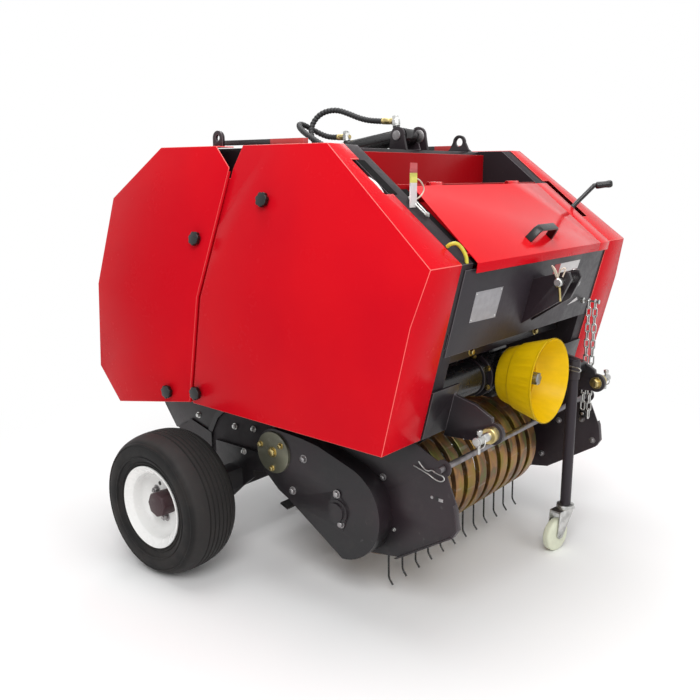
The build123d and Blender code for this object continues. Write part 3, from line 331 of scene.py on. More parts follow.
def grid(spots, around=False, along=False, ends=False):
    # Surface of the spots [i, j]: a quad between neighbours, wrapped in j (around) or in i
    # (along), and a flat face over each open end
    rows, columns = spots.shape[:2]
    number = np.arange(rows * columns).reshape(rows, columns)
    if around:
        number = np.hstack([number, number[:, :1]])
    if along:
        number = np.vstack([number, number[:1]])
    quads = np.stack([number[:-1, :-1], number[:-1, 1:], number[1:, 1:], number[1:, :-1]], -1)
    faces = quads.reshape(-1, 4).tolist()
    if ends:
        faces += [number[0, :columns][::-1].tolist(), number[-1, :columns].tolist()]
    return spots.reshape(-1, 3), faces


def prism(outline, axis, low, high):
    # Outline in the two other axes, in X, Y, Z order, carried from low to high along the axis
    outline = np.asarray(outline, float)
    layers = [np.insert(outline, axis, along, axis=1) for along in (low, high)]
    return grid(np.stack(layers), around=True, ends=True)


def block(x0, x1, y0, y1, z0, z1):
    return prism([(y0, z0), (y1, z0), (y1, z1), (y0, z1)], 0, x0, x1)


def across(direction):
    # Two directions square to this one and to each other
    ahead = unit(np.asarray(direction, float))
    helper = np.array([0.0, 0.0, 1.0]) if abs(ahead[2]) < 0.9 else np.array([1.0, 0.0, 0.0])
    side = unit(np.cross(helper, ahead))
    return ahead, side, np.cross(ahead, side)


def drum(start, end, radius, inner=0):
    # Profile of a plain disc or cylinder, or of a ring round its inner radius
    return [(start, inner), (start, radius), (end, radius), (end, inner)]


def revolve(profile, direction=(0, 0, 1), centre=(0, 0, 0), steps=40):
    # Centre + along * axis + radius * (cos t * side + sin t * up) for each (along, radius) of the
    # profile
    ahead, side, up = across(direction)
    along, radius = np.asarray(profile, float).T[:, :, None, None]
    turn = np.linspace(0.0, 2 * math.pi, steps, endpoint=False)
    ring = np.cos(turn)[:, None] * side + np.sin(turn)[:, None] * up
    return grid(np.asarray(centre, float) + along * ahead + radius * ring, around=True)


def frames(path, closed=False):
    # Direction of a path at each spot, and two directions square to it; the first of those is
    # square to a fixed direction that the path never follows closely
    path = np.asarray(path, float)
    ahead = np.roll(path, -1, 0) - np.roll(path, 1, 0) if closed else np.gradient(path, axis=0)
    ahead = unit(ahead)
    trial = unit(np.array([(1, 0, 0), (0, 1, 0), (0, 0, 1), (1, 1, 0), (1, -1, 0), (1, 0, 1),
                           (1, 0, -1), (0, 1, 1), (0, 1, -1)], float))
    fixed = trial[np.abs(ahead @ trial.T).max(0).argmin()]
    side = unit(np.cross(ahead, fixed))
    return path, side, np.cross(ahead, side)


def sweep(path, outline, closed=False, size=1.0):
    # A flat (u, v) outline carried along the path: path + size * (u * side + v * up)
    path, side, up = frames(path, closed)
    outline = np.asarray(outline, float)
    size = np.broadcast_to(size, (len(path), len(outline)))[..., None]
    flat = outline[None, :, :1] * side[:, None] + outline[None, :, 1:] * up[:, None]
    return grid(path[:, None] + size * flat, around=True, along=closed, ends=not closed)


def circle(radius, sides):
    turn = np.linspace(0.0, 2 * math.pi, sides, endpoint=False)
    return np.stack([np.cos(turn), np.sin(turn)], 1) * radius


def tube(path, radius, sides=10, closed=False):
    return sweep(path, circle(radius, sides), closed)


def bent(points, steps=6):
    # Catmull-Rom curve through the points of a bent wire
    spots = np.array(points, float)
    spots = np.vstack([2 * spots[0] - spots[1], spots, 2 * spots[-1] - spots[-2]])
    t = np.linspace(0.0, 1.0, steps, endpoint=False)[None, :, None]
    a, b, c, d = (spots[k:len(spots) - 3 + k, None] for k in range(4))
    curve = 0.5 * (2 * b + (c - a) * t + (2 * a - 5 * b + 4 * c - d) * t ** 2
                   + (3 * b - a - 3 * c + d) * t ** 3)
    return np.vstack([curve.reshape(-1, 3), spots[-2]])


def manyTimes(placed, faces):
    # Spots [copy, corner] of a part, and its faces once for each copy
    times, count = placed.shape[:2]
    return placed.reshape(-1, 3), [[count * i + v for v in face] for i in range(times) for face in faces]


def copies(part, spots, directions):
    # The part, drawn about +Z, at each spot with its Z along the direction there
    points, faces = part
    spots = np.asarray(spots, float)
    bases = np.array([across(d) for d in np.broadcast_to(directions, spots.shape)])[:, [1, 2, 0]]
    return manyTimes(spots[:, None] + points @ bases, faces)


def repeated(part, offsets):
    # The part once at each offset
    points, faces = part
    return manyTimes(np.asarray(offsets, float)[:, None] + points, faces)


def turned(part, centre, first, second, third):
    # The part moved to the centre, with its X, Y and Z along the three directions
    points, faces = part
    return points @ np.array([first, second, third], float) + np.array(centre, float), faces


def joined(*parts):
    points, faces, first = [], [], 0
    for spots, corners in parts:
        points.append(spots)
        faces += [[first + v for v in face] for face in corners]
        first += len(spots)
    return np.vstack(points), faces


def mirrored(part):
    # The same part on the other side of the machine as well
    points, faces = part
    return joined(part, (points * (-1.0, 1.0, 1.0), [face[::-1] for face in faces]))


def hexHead(wide, high, washer=0.78, stud=0.0):
    # Chamfered hexagon head on a washer about +Z, with the end of its stud above a nut
    base = 1.6
    top = base + high
    corner = wide / math.sqrt(3)
    parts = [revolve(drum(0, base, wide * washer), steps=16),
             revolve([(base, 0), (base, corner), (base + high * 0.78, corner), (top, corner * 0.84),
                      (top, 0)], steps=6)]
    if stud:
        parts.append(revolve([(base, 0), (base, wide * 0.3), (top + stud - 1, wide * 0.3),
                              (top + stud, wide * 0.24), (top + stud, 0)], steps=12))
    return joined(*parts)


def settle(mesh, name, body, finishes, bevel, steps, edge, replaces, slot):
    # Finished object: doubles merged, normals outwards, corners rounded, on its body
    work = bmesh.new()
    work.from_mesh(mesh)
    bmesh.ops.remove_doubles(work, verts=work.verts, dist=2e-6)
    bmesh.ops.recalc_face_normals(work, faces=work.faces)
    work.to_mesh(mesh)
    work.free()
    for finish in finishes + ([edge] if edge else []):
        mesh.materials.append(paints[finish])
    piece = bpy.data.objects.new(name, mesh)
    bpy.context.scene.collection.objects.link(piece)
    if bevel:
        rounding = piece.modifiers.new("rounding", "BEVEL")
        rounding.width = bevel * mm
        rounding.segments = steps
        rounding.limit_method = "ANGLE"
        rounding.angle_limit = math.radians(32.0)
        # the bevel's faces take the edge finish, here always a lighter copy of the enamel: painted
        # highlight
        rounding.material = len(finishes) if edge else -1
        bpy.context.view_layer.update()
        done = piece.evaluated_get(bpy.context.evaluated_depsgraph_get())
        rounded = bpy.data.meshes.new_from_object(done)
        piece.modifiers.clear()
        piece.data = rounded
    piece.data.polygons.foreach_set("use_smooth", [True] * len(piece.data.polygons))
    piece.data.set_sharp_from_angle(angle=math.radians(32.0))
    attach(piece, body)
    if replaces:
        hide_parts(*replaces)
        slot = slot or slotOf[replaces[0]]
    return piece


def make(name, body, parts, bevel=0.0, steps=2, edge=None, replaces=(), slot=None):
    # Object of (finish, part) pairs
    finishes = list(dict.fromkeys(finish for finish, part in parts))
    points, faces = joined(*(part for finish, part in parts))
    mesh = bpy.data.meshes.new(name)
    mesh.from_pydata((points * mm).tolist(), [], faces)
    numbers = [finishes.index(finish) for finish, part in parts for face in part[1]]
    mesh.polygons.foreach_set("material_index", numbers)
    return settle(mesh, name, body, finishes, bevel, steps, edge, replaces, slot)


def dress(node, finish, bevel, edge=None, marks=()):
    # Stand-in for a rigid CAD node: the same faces with rounded edges. Each mark is a finish and
    # a test on the face centres in millimetres.
    work = bmesh.new()
    work.from_mesh(frame["nodes"][node].data)
    bmesh.ops.remove_doubles(work, verts=work.verts, dist=2e-6)
    bmesh.ops.dissolve_limit(work, angle_limit=math.radians(0.4), verts=work.verts, edges=work.edges)
    mesh = bpy.data.meshes.new(node + "_dressed")
    work.to_mesh(mesh)
    work.free()
    number = np.zeros(len(mesh.polygons), int)
    centres = np.empty(3 * len(mesh.polygons))
    mesh.polygons.foreach_get("center", centres)
    x, y, z = centres.reshape(-1, 3).T / mm
    finishes = [finish]
    for marked, inside in marks:
        if marked not in finishes:
            finishes.append(marked)
        number[inside(x, y, z)] = finishes.index(marked)
    mesh.polygons.foreach_set("material_index", number)
    return settle(mesh, node + "_dressed", bodyOf[node], finishes, bevel, 2, edge, [node], None)


def routeLine(points, name):
    # Spots in metres along the NURBS spline whose control points are given in millimetres
    curve = bpy.data.curves.new(name, "CURVE")
    curve.dimensions = "3D"
    spline = curve.splines.new("NURBS")
    spline.points.add(len(points) - 1)
    weighted = np.column_stack([np.array(points) * mm, np.ones(len(points))])
    spline.points.foreach_set("co", weighted.ravel())
    spline.order_u = 3
    spline.use_endpoint_u = True
    spline.resolution_u = 30
    holder = bpy.data.objects.new(name, curve)
    bpy.context.scene.collection.objects.link(holder)
    bpy.context.view_layer.update()
    line = bpy.data.meshes.new_from_object(holder)
    spots = np.empty(3 * len(line.vertices))
    line.vertices.foreach_get("co", spots)
    bpy.data.objects.remove(holder)
    return spots.reshape(-1, 3)


# Hoses of the gate cylinder: control points of each line, with the ridges of the spiral wrap
hoses = {
    "ridge": 11, "depth": 0.16, "radius": 9,
    "hose_front": [(0, -10, 1275), (0, 34, 1277), (-3, 78, 1287), (-6, 118, 1302),
                   (-12, 156, 1314), (-24, 190, 1312), (-36, 216, 1298), (-50, 228, 1272),
                   (-62, 224, 1244), (-72, 204, 1220), (-82, 170, 1202), (-90, 124, 1186),
                   (-97, 70, 1173), (-101, 10, 1166), (-101, -65, 1166)],
    "hose_rear": [(0, 164, 1233), (0, 194, 1233), (-6, 226, 1242), (-24, 250, 1258),
                  (-52, 262, 1272), (-84, 254, 1272), (-108, 226, 1256), (-122, 184, 1236),
                  (-127, 138, 1214), (-130, 84, 1192), (-133, 30, 1174), (-134, -14, 1166),
                  (-134, -65, 1166)],
}
hoseTop = {"hose_front": 1.268, "hose_rear": 1.228}
for name, topHeight in hoseTop.items():
    line = routeLine(hoses[name], name + "_line")
    distance = np.insert(np.linalg.norm(np.diff(line, axis=0), axis=1), 0, 0.0).cumsum()
    turn = np.linspace(0.0, 2 * math.pi, 16, endpoint=False)
    wrap = np.cos(2 * math.pi * distance[:, None] / mm / hoses["ridge"] - turn[None, :])
    size = 1.0 - hoses["depth"] * (0.5 - 0.5 * wrap)
    piece = make(name + "_cover", "frame",
                 [("rubber", sweep(line / mm, circle(hoses["radius"], 16), size=size))])
    piece.parent = None
    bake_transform(piece)
    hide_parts(name)
print("hoses ready")


stageFloor = {"reach": 30.0, "fade": (1.25, 2.1), "colour": (0.96, 0.96, 0.96)}
reach = stageFloor["reach"]
floorMesh = bpy.data.meshes.new("floor")
floorMesh.from_pydata([(-reach, -reach, 0), (reach, -reach, 0), (reach, reach, 0), (-reach, reach, 0)],
                      [], [(0, 1, 2, 3)])
ground = Finish("floor", Roughness=0.9, Specular_IOR_Level=0.1)
ground.paint(ground.mix(ground.noise(1.5, 2.0), shade(stageFloor["colour"], 0.985), stageFloor["colour"]))


def seenRays(nodes):
    # 1 for rays that show the background: from the camera, in reflections and through glass
    rays = [nodes.node("ShaderNodeLightPath", {}, {}, kind)
            for kind in ("Is Camera Ray", "Is Glossy Ray", "Is Transmission Ray")]
    return rays[0].math("MINIMUM", rays[0] + rays[1] + rays[2], 1.0)


# The floor shows its shading near the machine and plain white far from it
farther = ground.node("ShaderNodeVectorMath", {"operation": "LENGTH"}, {0: ground.place}, "Value")
white = ground.node("ShaderNodeEmission", {}, {"Color": (1.0, 1.0, 1.0), "Strength": 1.0})
shaded = Field(ground, ground.shader.outputs[0])
both = ground.node("ShaderNodeMixShader", {}, {0: farther.between(*stageFloor["fade"]) * seenRays(ground),
                                               1: shaded, 2: white})
ground.feed(both, ground.tree.nodes["Material Output"].inputs[0])
floorMesh.materials.append(ground.material)
floor = bpy.data.objects.new("floor", floorMesh)
bpy.context.scene.collection.objects.link(floor)

world = bpy.data.worlds.new("studio")
world.use_nodes = True
bpy.context.scene.world = world
sky = Nodes(world.node_tree)
plain = sky.node("ShaderNodeBackground", {}, {"Color": (1.0, 1.0, 1.0), "Strength": 0.42})
shown = sky.node("ShaderNodeBackground", {}, {"Color": (1.0, 1.0, 1.0), "Strength": 1.0})
mixed = sky.node("ShaderNodeMixShader", {}, {0: seenRays(sky), 1: plain, 2: shown})
sky.feed(mixed, world.node_tree.nodes["World Output"].inputs[0])

lights = {
    # name: (place, aim, size, watts)
    "key": ((-3.2, -2.2, 3.6), (-0.2, 0, 0.7), 2.6, 105),
    "front": ((-0.4, -4.2, 2.2), (0, -0.3, 0.6), 2.4, 30),
    "top": ((0.2, 0.2, 4.2), (0, 0, 0.8), 3.2, 95),
    "rim": ((3, 2.4, 2.6), (0, 0, 0.8), 2.4, 40),
}
for name, (place, aim, size, watts) in lights.items():
    lamp = bpy.data.lights.new(name, "AREA")
    lamp.shape = "DISK"
    lamp.size = size
    lamp.energy = watts
    holder = bpy.data.objects.new(name, lamp)
    holder.location = place
    holder.rotation_euler = (Vector(aim) - Vector(place)).to_track_quat("-Z", "Y").to_euler()
    bpy.context.scene.collection.objects.link(holder)
print("stage ready")


# CAD nodes that keep their shape and get rounded edges: finish, rounding and edge finish. The edge
# finishes are lighter copies of their enamel: painted highlights along the rounded edges. A star
# stands for right and left.
plainNodes = {
    "side_plate_*": ("post", 0.8, "blackEdge"), "front_plate": ("panel", 1, "blackEdge"),
    # the twine tray takes the darker copy of the red enamel: painted shade
    "twine_tray": ("redInside", 0.8, "redEdge"), "top_beam": ("black", 1.5, "blackEdge"),
    "lifting_eye_front": ("black", 1.2, "blackEdge"), "cross_beam": ("black", 3, None),
    "axle_beam": ("black", 1.5, None), "front_shield_*": ("red", 1.3, "redEdge"),
    "gate_shield_*": ("red", 1.3, "redEdge"), "front_rollers": ("steel", 1.5, None),
    "gate_rollers": ("steel", 1.5, None), "gearbox": ("blackGloss", 2.5, None),
    "pto_guard": ("yellow", 1, None), "pto_shaft": ("spline", 0.8, None),
    "top_link_clevis": ("black", 1.4, "blackEdge"), "stand_bracket": ("black", 1.2, "blackEdge"),
    "stand_leg": ("panel", 1.5, None), "caster_fork": ("zinc", 0.8, None),
    "caster_wheel": ("nylon", 2, None), "pickup_plate_*": ("black", 0.8, "blackEdge"),
    "wind_guard_rod": ("rod", 1, None), "knobs_front": ("plastic", 2.2, None),
    "knobs_gate": ("plastic", 2.2, None), "gate_plate_*": ("black", 0.8, "blackEdge"),
    # the gate beam takes the darker copy of the red enamel: painted shade
    "gate_beam": ("redInside", 1.5, None), "gate_rear_tube": ("black", 3, None),
    "cylinder_body": ("blackGloss", 1.5, None), "cylinder_rod": ("chrome", 1, None),
    # the lid takes the lighter, glossier copy of the red enamel: painted sheen
    "lid": ("redTop", 1, None), "lift_chain": ("zinc", 0, None),
    "lifting_eyes_gate": ("black", 1.2, "blackEdge"), "gate_struts": ("black", 1, None),
    "lower_link_*": ("black", 1.4, "blackEdge"), "chain_guard": ("black", 2.2, "blackEdge"),
    "density_lever": ("blackGloss", 1, None),
}
linkMarks = [("brass", lambda x, y, z: (np.abs(x) > 322.5) & (np.abs(x) < 331.0) & (y < -560)),
             ("zinc", lambda x, y, z: (np.abs(x) > 331.0) & (y < -570))]
marksOf = {
    # the cylinder's pin, the lid's lip, the rod's painted end, the right shield's slope (in the lighter,
    # glossier copy of the red enamel: painted sheen), the strut's fork, the pins of the lower links and
    # the bearing's disc
    "top_beam": [("dullZinc", lambda x, y, z: (np.abs(x) > 47.5) & (z > 1205))],
    "lid": [("red", lambda x, y, z: z < 916)],
    "wind_guard_rod": [("black", lambda x, y, z: x < -424)],
    "front_shield_right": [("redTop", lambda x, y, z: np.abs(z - 1195 - 0.7925 * (y + 211)) < 2)],
    "gate_struts": [("clevisRed", lambda x, y, z: y < 60.5)],
    "lower_link_right": linkMarks, "lower_link_left": linkMarks,
    "chain_guard": [("olive", lambda x, y, z: (x < -487.5) & (np.hypot(y + 10, z - 368) < 60.0))],
}
for name, (finish, bevel, edge) in plainNodes.items():
    for node in [name.replace("*", side) for side in ("right", "left")[:1 + name.count("*")]]:
        dress(node, finish, bevel, edge, marksOf.get(node, []))
print("nodes dressed")


def tyreProfile():
    # Tread radius = radius - crown * |x / half|^2.6, less a bell-shaped dip at every groove
    x = np.linspace(-wheel["treadHalf"], wheel["treadHalf"], 125)
    fromGroove = (x[:, None] - np.array(wheel["grooves"])) / wheel["grooveWide"]
    dip = np.exp(-fromGroove ** 4).max(1) * wheel["grooveDeep"]
    tread = np.column_stack([x, wheel["radius"] - wheel["crown"] * abs(x / x[-1]) ** 2.6 - dip])
    side = np.array(wheel["shoulder"])
    return np.vstack([side[::-1] * (-1.0, 1.0), tread, side, [(-58.5, 101.5)]])


def discRing(sign, depth, turn):
    # Four spots on the bolt circle, this far out from the wheel's middle and turned on
    angles = np.radians(np.array(wheel["boltAngles"])) + turn
    return np.column_stack([np.full(4, sign * depth), np.cos(angles) * wheel["boltCircle"],
                            np.sin(angles) * wheel["boltCircle"]])


for sideName, sign in (("right", 1.0), ("left", -1.0)):
    middle = (sign * wheel["centre"][0], *wheel["centre"][1:])
    out = (sign, 0.0, 0.0)
    body = "wheel_" + sideName
    make("tyre_ribbed_" + sideName, body, [("tyre", revolve(tyreProfile(), out, middle, 96))],
         replaces=["tyre_" + sideName])
    rimParts = [("white", revolve(wheel["dish"] + wheel["dish"][:1], out, middle, 80)),
                ("white", revolve(wheel["hub"], out, middle, 32)),
                ("cap", revolve(wheel["cap"], out, middle, 8))]
    rimParts.append(("dullZinc", copies(hexHead(19.0, 9.0, 0.85, 4.0),
                                        discRing(sign, 7.0, 0.0) + middle, out)))
    # dark discs on the bolt circle in place of the dish's holes: painted shade seen through them
    hole = revolve(drum(*wheel["hole"]), steps=16)
    rimParts.append(("plastic", copies(hole, discRing(sign, 6.6, wheel["holeTurn"]) + middle, out)))
    valveFoot = (middle[0] + sign * 22.0, middle[1] - 60.0, middle[2] + 62.0)
    rimParts.append(("rubber", revolve(wheel["valve"], (sign * 0.94, 0, 0.34), valveFoot, 12)))
    make("rim_dished_" + sideName, body, rimParts, 0.6, 1, replaces=["rim_" + sideName])
print("wheels ready")


# Pickup: bands with folded sides, and the reel with its sprung tines. Spots round the reel's axis
# are given as (radius, degrees from the rear).
pickup = {
    "axis": (-240, 256), "pitch": 64.1, "firstTine": -372.55, "tines": 12, "firstBand": -340.5,
    "bandRadius": 165, "bandHalf": 20.5, "bandThick": 3, "bandLip": 15,
    "bandArc": (90, 290), "tails": (234, 230),
    "barCircle": 95, "barRadius": 11, "wire": 3, "coil": 14.2, "coilTurns": 2.5, "coilWide": 17,
    # bar angle, elbow and tip of its tines
    "bars": ((-133, (228, -111.3), (248, -112.8)), (-43, (135, -77), (148, -91)),
             (47, (135, 13), (148, -1)), (137, (135, 103), (148, 89))),
}


def roundReel(radius, degrees):
    turn = np.radians(np.atleast_1d(degrees))
    return np.column_stack([np.zeros(len(turn)), pickup["axis"][0] + radius * np.cos(turn),
                            pickup["axis"][1] + radius * np.sin(turn)])


def bandShape():
    # Channel section carried along the rear tail, the arc round the reel and the lower tail
    arc = roundReel(pickup["bandRadius"], np.linspace(*pickup["bandArc"], 41))
    low = math.radians(pickup["bandArc"][1])
    path = np.vstack([arc[0] + (0, pickup["tails"][0], 0), arc,
                      arc[-1] + pickup["tails"][1] * np.array([0, -math.sin(low), math.cos(low)])])
    half, thick, lip = pickup["bandHalf"], pickup["bandThick"], pickup["bandLip"]
    section = [(0, 1.5 - half), (0, half - 1.5), (-1.5, half), (-lip, half), (-lip, half - thick),
               (-thick, half - thick), (-thick, thick - half), (-lip, thick - half), (-lip, -half),
               (-1.5, -half)]
    return sweep(path, section)


def tineShape(angle, elbow, tip):
    # Coil round the bar, straight shank, and a bend at the elbow drawn as a parabola
    bar, knee, end = (roundReel(*spot)[0] for spot in ((pickup["barCircle"], angle), elbow, tip))
    shank = unit(knee - bar)
    leave = math.atan2(-shank[1], shank[2])
    turns = np.linspace(leave - 2 * math.pi * pickup["coilTurns"], leave, 46)
    coil = np.column_stack([np.linspace(-pickup["coilWide"] / 2, 0.0, 46), np.cos(turns) * pickup["coil"],
                            np.sin(turns) * pickup["coil"]]) + bar
    t = np.linspace(0.0, 1.0, 6)[:, None]
    before, after = knee - shank * 7.0, knee + unit(end - knee) * 7.0
    bend = (1 - t) ** 2 * before + 2 * t * (1 - t) * knee + t ** 2 * after
    return tube(np.vstack([coil, bend, end]), pickup["wire"], 6)


bandSpots = np.column_stack([pickup["firstBand"] + np.arange(pickup["tines"] - 1) * pickup["pitch"],
                             np.zeros((pickup["tines"] - 1, 2))])
tieBars = [("black", block(-427, 427, -34, -6, 412, 418)),
           ("black", prism([(31.5, 182.4), (3.3, 172.2), (1.2, 177.8), (29.5, 188.1)], 0, -427, 427))]
make("pickup_bands_folded", "frame", [("bands", repeated(bandShape(), bandSpots))] + tieBars,
     replaces=["pickup_bands"])

tineSpots = np.column_stack([pickup["firstTine"] + np.arange(pickup["tines"]) * pickup["pitch"],
                             np.zeros((pickup["tines"], 2))])
reelParts = [("blackGloss", repeated(tineShape(*bar), tineSpots)) for bar in pickup["bars"]]
for bar in pickup["bars"]:
    spot = roundReel(pickup["barCircle"], bar[0])[0]
    reelParts.append(("black", revolve(drum(-408, 368, pickup["barRadius"]), (1, 0, 0), spot, 20)))
reelAxis = (0.0, *pickup["axis"])
reelParts.append(("steel", revolve([(-461, 0), (-461, 15), (-460, 16), (444, 16), (445, 15), (445, 0)],
                                   (1, 0, 0), reelAxis, 28)))
for x in (-408.6, 363.6):
    reelParts.append(("black", revolve(drum(x, x + 5, 118, 16), (1, 0, 0), reelAxis, 64)))
make("pickup_reel_sprung", "reel", reelParts, replaces=["pickup_reel"])
print("pickup ready")


# Guard of the input shaft, and the flanges of the gearbox's side tube
guard = {
    "mount": (0, -459, 567),
    # (distance forward of the mount, radius): outside, mouth and inside
    "profile": [(0, 25.5), (0, 70), (1.5, 74.5), (4.5, 78), (41, 90), (42.2, 88.2), (46, 88.6),
                (47.5, 93.4), (50, 95.2), (122, 114.9), (125, 117.6), (128.5, 119), (131, 118.4),
                (131, 116.2), (127, 114.6), (51, 92), (45, 85.4), (41, 86), (6, 75), (4.5, 70),
                (4.5, 25.5), (0, 25.5)],
}
make("pto_guard_bell", "frame", [("yellow", revolve(guard["profile"], (0, -1, 0), guard["mount"], 96))],
     replaces=["pto_guard"])
sideTube = (0.0, -392.0, 567.0)
flanges = []
for x, wide, radius in ((-66.5, 9, 61), (-100, 5, 54), (-338, 7, 60)):
    ring = [(x, 47), (x, radius - 1.5), (x - 1.5, radius), (x - wide + 1.5, radius),
            (x - wide, radius - 1.5), (x - wide, 47)]
    flanges.append(("black", revolve(ring, (1, 0, 0), sideTube, 48)))
turns = np.radians(np.arange(30.0, 390.0, 60.0))
rim = np.column_stack([np.full(6, -75.5), -392 + 54.5 * np.cos(turns), 567 + 54.5 * np.sin(turns)])
flanges.append(("brass", copies(hexHead(11, 7), rim, toLeft)))
make("gearbox_flanges", "frame", flanges, slot="frame_paint")


def bothSides(finish, wide, high, spots):
    # Heads that face left, and the same on the other side of the machine
    return [(finish, wide, high, spots, toLeft),
            (finish, wide, high, [(-x, y, z) for x, y, z in spots], (1, 0, 0))]


# Hexagon heads: finish, width, height, spots, direction
bolts = {
    "frame": [
        ("dullZinc", 15, 8, [(-487, -118, 372), (-487, -77, 271)], toLeft),
        ("dullZinc", 15, 7, [(-492, -238, 304), (-492, -252, 224)], toLeft),
        ("brass", 12, 7, [(-496, 36, 384), (-496, -41, 394), (-496, -7, 322)], toLeft),
        ("brass", 20, 8, [(-496, -10, 370)], toLeft),
        ("zinc", 7, 4, [(-431, -380, 224)], toLeft),
        ("dullZinc", 13, 7, [(-431, -150, 442), (-431, -343, 359)], toLeft),
        ("dullZinc", 13, 6, [(427, -333, 149), (427, -550, 276), (427, -510, 340), (427, -431, 321),
                             (427, -376, 193)], toLeft),
        ("brass", 15, 9, [(215, -430, 655), (-160, -430, 655)], (0, -1, 0)),
        *bothSides("zinc", 13, 7, [(-377, 268, 359), (-377, 186, 367), (-385, 222, 290),
                                   (-385, 267, 207)]),
        *bothSides("brass", 24, 10, [(310, -595, 499)]),
    ],
    "gate": bothSides("zinc", 13, 7, [(-377, 437, 363)]),
}
for body, rows in bolts.items():
    make("bolts_on_" + body, body, [(finish, copies(hexHead(wide, high), spots, direction))
                                    for finish, wide, high, spots, direction in rows], 0.3, 1)


# Pins and clips of the linkage: profiles are (distance along, radius)
pins = {
    "lower": (-388, -595, 499), "lowerRing": 14, "top": (0, -621, 846), "topRing": 15,
    "linch": [(-36, 0), (-33, 4), (15, 4), (16, 7), (25, 8), (27, 5), (27, 0)],
    "collar": [(0, 11), (0, 19), (1.5, 20.5), (14, 20.5), (15.5, 19), (15.5, 11)],
    "collarFoot": (-331, -595, 499),
    "topPin": [(-60, 0), (-60, 9), (-57, 12), (-50, 12), (-48, 9.2), (50, 9.2), (52, 7), (52, 0)],
    "strap": [(-52, -621, 854), (-54, -612, 878), (-50, -600, 888), (-44, -604, 874),
              (-46, -614, 858), (-58, -628, 880), (-56, -640, 884), (-53, -632, 862)],
    "splitTube": (0, 36, 3.4),          # start, end and radius
    # hairpin in the end of the guard rod, and wire loop of the pin in the stand's collar
    "hairpin": [(-438, -456, 429), (-439, -468, 419), (-440, -479, 413), (-440, -488, 413),
                (-440, -497, 416), (-441, -508, 413), (-442, -520, 411), (-442, -530, 409),
                (-442, -534, 402), (-442, -528, 396), (-441, -516, 394), (-440, -502, 397),
                (-440, -486, 404), (-439, -464, 410), (-437, -441, 415)],
    "standLoop": [(170, -566, 575), (168, -580, 574), (168, -598, 572), (168, -604, 567),
                  (168, -598, 562), (168, -580, 563), (170, -566, 564)],
    # knob of the latch on the right end plate
    "latch": (427, -520, 366), "latchStud": [(24, 0), (24, 5), (26, 4), (26, 0)],
    "latchKnob": [(0, 0), (0, 6), (7, 6), (9, 12), (12, 14), (20, 14), (23, 12), (24, 0)],
}


def linchPin(x, y, z, size):
    # Upright pin with a ring that swings down: a circle flattened on its lower side
    turn = np.linspace(0.0, 2 * math.pi, 33)[:-1]
    ring = np.column_stack([x + 9 * np.cos(turn / 2) ** 2, y + size * np.sin(turn),
                            z + 8 - size + size * np.cos(turn)])
    return joined(tube(ring, 1.6, 8, True), revolve(pins["linch"], (0, 0, 1), (x, y, z), 14))


make("pins_and_clips", "frame", [
    ("zinc", mirrored(linchPin(*pins["lower"], pins["lowerRing"]))),
    ("brass", mirrored(revolve(pins["collar"], toLeft, pins["collarFoot"], 28))),
    ("zinc", tube(bent(pins["hairpin"]), 1.6, 8)),
    ("zinc", tube(bent(pins["standLoop"]), 2.0, 8)),
    # adjuster's stud and slot in the left end plate
    ("dullZinc", revolve([(0, 0), (0, 4.5), (2, 4), (2, 0)], toLeft, (-431, -494, 343), 16)),
    ("plastic", block(-431.8, -431, -512, -503, 338, 347)),
    ("dullZinc", block(-432.2, -431, -526, -513, 337, 345)),
    ("plastic", revolve(pins["latchKnob"], toLeft, pins["latch"], 20)),
    ("zinc", revolve(pins["latchStud"], toLeft, pins["latch"], 12))])
make("top_link_pin", "frame", [
    ("zinc", revolve(pins["topPin"], (1, 0, 0), pins["top"], 24)),
    ("strap", tube(bent(pins["strap"]), 2.0, 8)),
    ("brass", revolve(drum(*pins["splitTube"]), (0, -0.12, -1), (-54, -625, 834), 12)),
    ("zinc", linchPin(44, -621, 846, pins["topRing"]))])
print("fasteners ready")


# Bare plates on the front cover. Spots are (X, Z) on the face y = -338.5 - 0.23864 z.
face = {"y": -338.5, "lean": 0.23864, "out": (0.0, -0.9727, -0.2321)}


def faceSpots(corners):
    # y = face y - lean * z for each (x, z)
    x, z = np.array(corners, float).T
    return np.column_stack([x, face["y"] - face["lean"] * z, z])


def onFace(corners, thick):
    # Plate of this outline: the corners on the cover, and again this far out along its normal
    spots = faceSpots(corners)
    out = np.array(face["out"])
    return grid(np.stack([spots, spots + out * thick]), around=True, ends=True)


def rivets(corners, size):
    # Flattened domes 1 mm out from the cover
    dome = [(0, 0), (0, size), (size * 0.35, size * 0.85), (size * 0.6, size * 0.5), (size * 0.7, 0)]
    spots = faceSpots(corners) + np.array(face["out"])
    return copies(revolve(dome, steps=12), spots, face["out"])


plates = [("plate", onFace([(-331, 845), (-198, 845), (-200, 765), (-330, 768)], 1.0)),
          ("zinc", rivets([(-325, 839), (-204, 839), (-206, 771), (-324, 774)], 2.6)),
          ("labelRed", onFace([(82, 876), (118, 876.2), (118, 844.5), (83, 844)], 0.5)),
          ("label", onFace([(118, 876.2), (249, 877), (245, 852), (118, 844.5)], 0.5)),
          ("label", onFace([(307, 757), (318, 746), (251, 739)], 0.5))]
make("bare_plates", "frame", plates)


